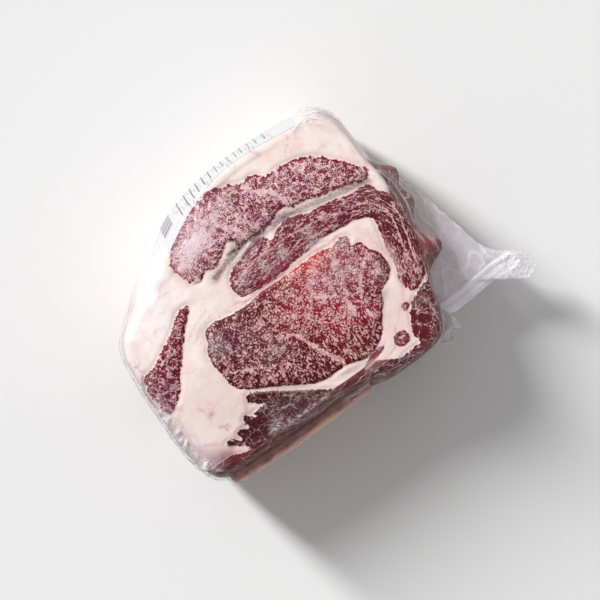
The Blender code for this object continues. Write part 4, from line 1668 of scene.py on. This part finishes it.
@dataclass
class Label:
    """The label on the fat cap, with plain rules and bars in place of any words."""

    left: float = -46.0             # X of its flank end, in millimetres
    right: float = 78.0
    low: float = 24.0               # height of its lower edge
    high: float = 124.0
    lift: float = 0.85              # its outer face over the meat
    thickness: float = 2.2          # reaches into the fat behind it, so that no gap shows
    step: Point = (0.5, 1.25)       # spacing of its mesh, along and up
    rules: tuple[float, ...] = (-23, -15.5, -9.5, -4, 2, 8, 14, 19.5, 25, 31, 36, 42, 48, 55)
    rule_sides: tuple[float, ...] = (-0.5, -0.26, 0.26, 0.5)        # paper and ink beside one
    rule_half: float = 0.27
    rule_span: Point = (34.0, 121.0)        # heights between which the rules run
    block: Point = (-43.0, -32.0)           # X of the block of bars
    block_span: Point = (42.0, 117.0)       # and its heights
    bar: float = 2.5                        # height of one bar
    flat_edge: float = 12.0                 # height of the strip that lies flat on the fat
    flat_lift: float = 0.1
    finish: LabelPaper = field(default_factory=LabelPaper)

    def build(self) -> bpy.types.Object:
        """Lays the label on the wall of the roast.

        Returns:
            The new piece.
        """
        surface = bmesh.new()
        surface.from_mesh(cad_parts["roast"].data)
        tree = BVHTree.FromBMesh(surface)
        surface.free()
        edges = [rule + side for rule in self.rules for side in self.rule_sides]
        even = np.arange(self.left, self.right + 0.01, self.step[0])
        columns = np.unique(np.append(even, edges))
        rows = np.arange(self.low, self.high + 0.01, self.step[1])
        places, bars = [], []
        for x in columns:
            for z in rows:
                hit, normal, _, _ = tree.ray_cast(Vector((x, 180.0, z)) * MM, Vector((0, -1, 0)))
                # Its upper edge lies flat on the fat, so that it casts no shadow there
                below = min(1.0, (self.high - z) / self.flat_edge)
                lift = self.flat_lift + (self.lift - self.flat_lift) * below
                places.append(hit / MM + normal * lift)
                bars.append(self.print_at(x, z))
        tall = len(rows)
        faces = [(c * tall + r, (c + 1) * tall + r, (c + 1) * tall + r + 1, c * tall + r + 1)
                 for c in range(len(columns) - 1) for r in range(tall - 1)]
        piece = mesh_object("label_sheet", np.array(places) * MM, faces)
        store(piece, "print", np.array(bars))
        solid = piece.modifiers.new("thickness", "SOLIDIFY")
        solid.thickness = self.thickness * MM
        solid.offset = 1.0
        crisp = piece.modifiers.new("crisp_edge", "EDGE_SPLIT")
        crisp.split_angle = math.radians(40.0)
        piece.data.materials.append(self.finish.material())
        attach(piece, BODY)
        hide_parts("label")
        return piece

    def print_at(self, x: float, z: float) -> float:
        """How much ink lies at a place on the label: a block of bars, rules and dashes.

        Args:
            x: Its place along the label, in millimetres.
            z: Its height, in millimetres.

        Returns:
            The strength of the ink, from 0 to 1.
        """
        low, high = self.block_span
        if self.block[0] < x < self.block[1] and low < z < high:
            return 0.75 if int(z / self.bar) % 2 else 0.15
        low, high = self.rule_span
        if low < z < high and min(abs(x - rule) for rule in self.rules) < self.rule_half:
            return 1.0 if x < 12.0 else 0.75
        if -29.0 < x < 60.0 and z > 40.0:
            dash = (int(z / 5.0) * 7 + int((x + 60.0) / 1.7) * 5) % 11
            return 0.22 if dash < 2 else 0.0
        return 0.0


@dataclass
class Studio:
    """Pale floor, soft light and the camera, none of which are part of the object."""

    floor_half: float = 3.0
    floor_level: float = -0.0004    # just under the roast, so that the two don't flicker
    light_place: tuple[float, float, float] = (-0.40, 1.33, 1.30)
    light_size: Point = (0.24, 1.76)
    light_power: float = 13.9
    sky: float = 0.40
    camera_place: tuple[float, float, float] = (0.010, -0.015, 1.5)
    camera_turn: float = -35.0
    lens: float = 117.86
    finish: StudioFloor = field(default_factory=StudioFloor)

    def build(self) -> None:
        """Sets up the floor, the lights, the camera and the picture's tone."""
        scene = bpy.context.scene
        half = self.floor_half
        corners = np.array([(x, y, self.floor_level)
                            for x, y in ((-half, -half), (half, -half), (half, half), (-half, half))])
        floor = mesh_object("floor", corners, [(0, 1, 2, 3)])
        floor.data.materials.append(self.finish.material())
        # An upright soft box that faces level, so that the floor is lit evenly
        lamp = bpy.data.lights.new("soft_key", "AREA")
        lamp.shape = "ELLIPSE"
        lamp.size, lamp.size_y = self.light_size
        lamp.energy = self.light_power
        lamp.use_nodes = True
        falloff = lamp.node_tree.nodes.new("ShaderNodeLightFalloff")
        falloff.inputs["Strength"].default_value = 1.0
        lamp.node_tree.links.new(falloff.outputs["Constant"],
                                 lamp.node_tree.nodes["Emission"].inputs["Strength"])
        key = bpy.data.objects.new("soft_key", lamp)
        key.location = self.light_place
        inwards = Vector((-self.light_place[0], -self.light_place[1], 0.0))
        key.rotation_euler = inwards.to_track_quat("-Z", "Y").to_euler()
        scene.collection.objects.link(key)
        world = bpy.data.worlds.new("even_sky")
        world.use_nodes = True
        background = world.node_tree.nodes["Background"]
        background.inputs["Color"].default_value = (1.0, 1.0, 1.0, 1.0)
        background.inputs["Strength"].default_value = self.sky
        scene.world = world
        view = bpy.data.cameras.new("camera")
        view.lens = self.lens
        camera = bpy.data.objects.new("camera", view)
        camera.location = self.camera_place
        camera.rotation_euler = (0.0, 0.0, math.radians(self.camera_turn))
        scene.collection.objects.link(camera)
        scene.camera = camera
        scene.view_settings.view_transform = "Standard"
        scene.view_settings.look = "None"


def report(piece: bpy.types.Object) -> None:
    """Logs a piece's name and how many vertices it has."""
    LOG.info("%s: %d vertices", piece.name, len(piece.data.vertices))


def main() -> None:
    """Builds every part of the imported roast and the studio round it."""
    logging.basicConfig(level=logging.INFO, format="%(message)s")
    Studio().build()
    report(Beef().build())
    for bone in Ribs().build():
        report(bone)
    report(VacuumFilm().build())
    report(BagTail().build())
    report(FilmRuffle().build())
    report(Label().build())


if __name__ == "__main__":
    main()
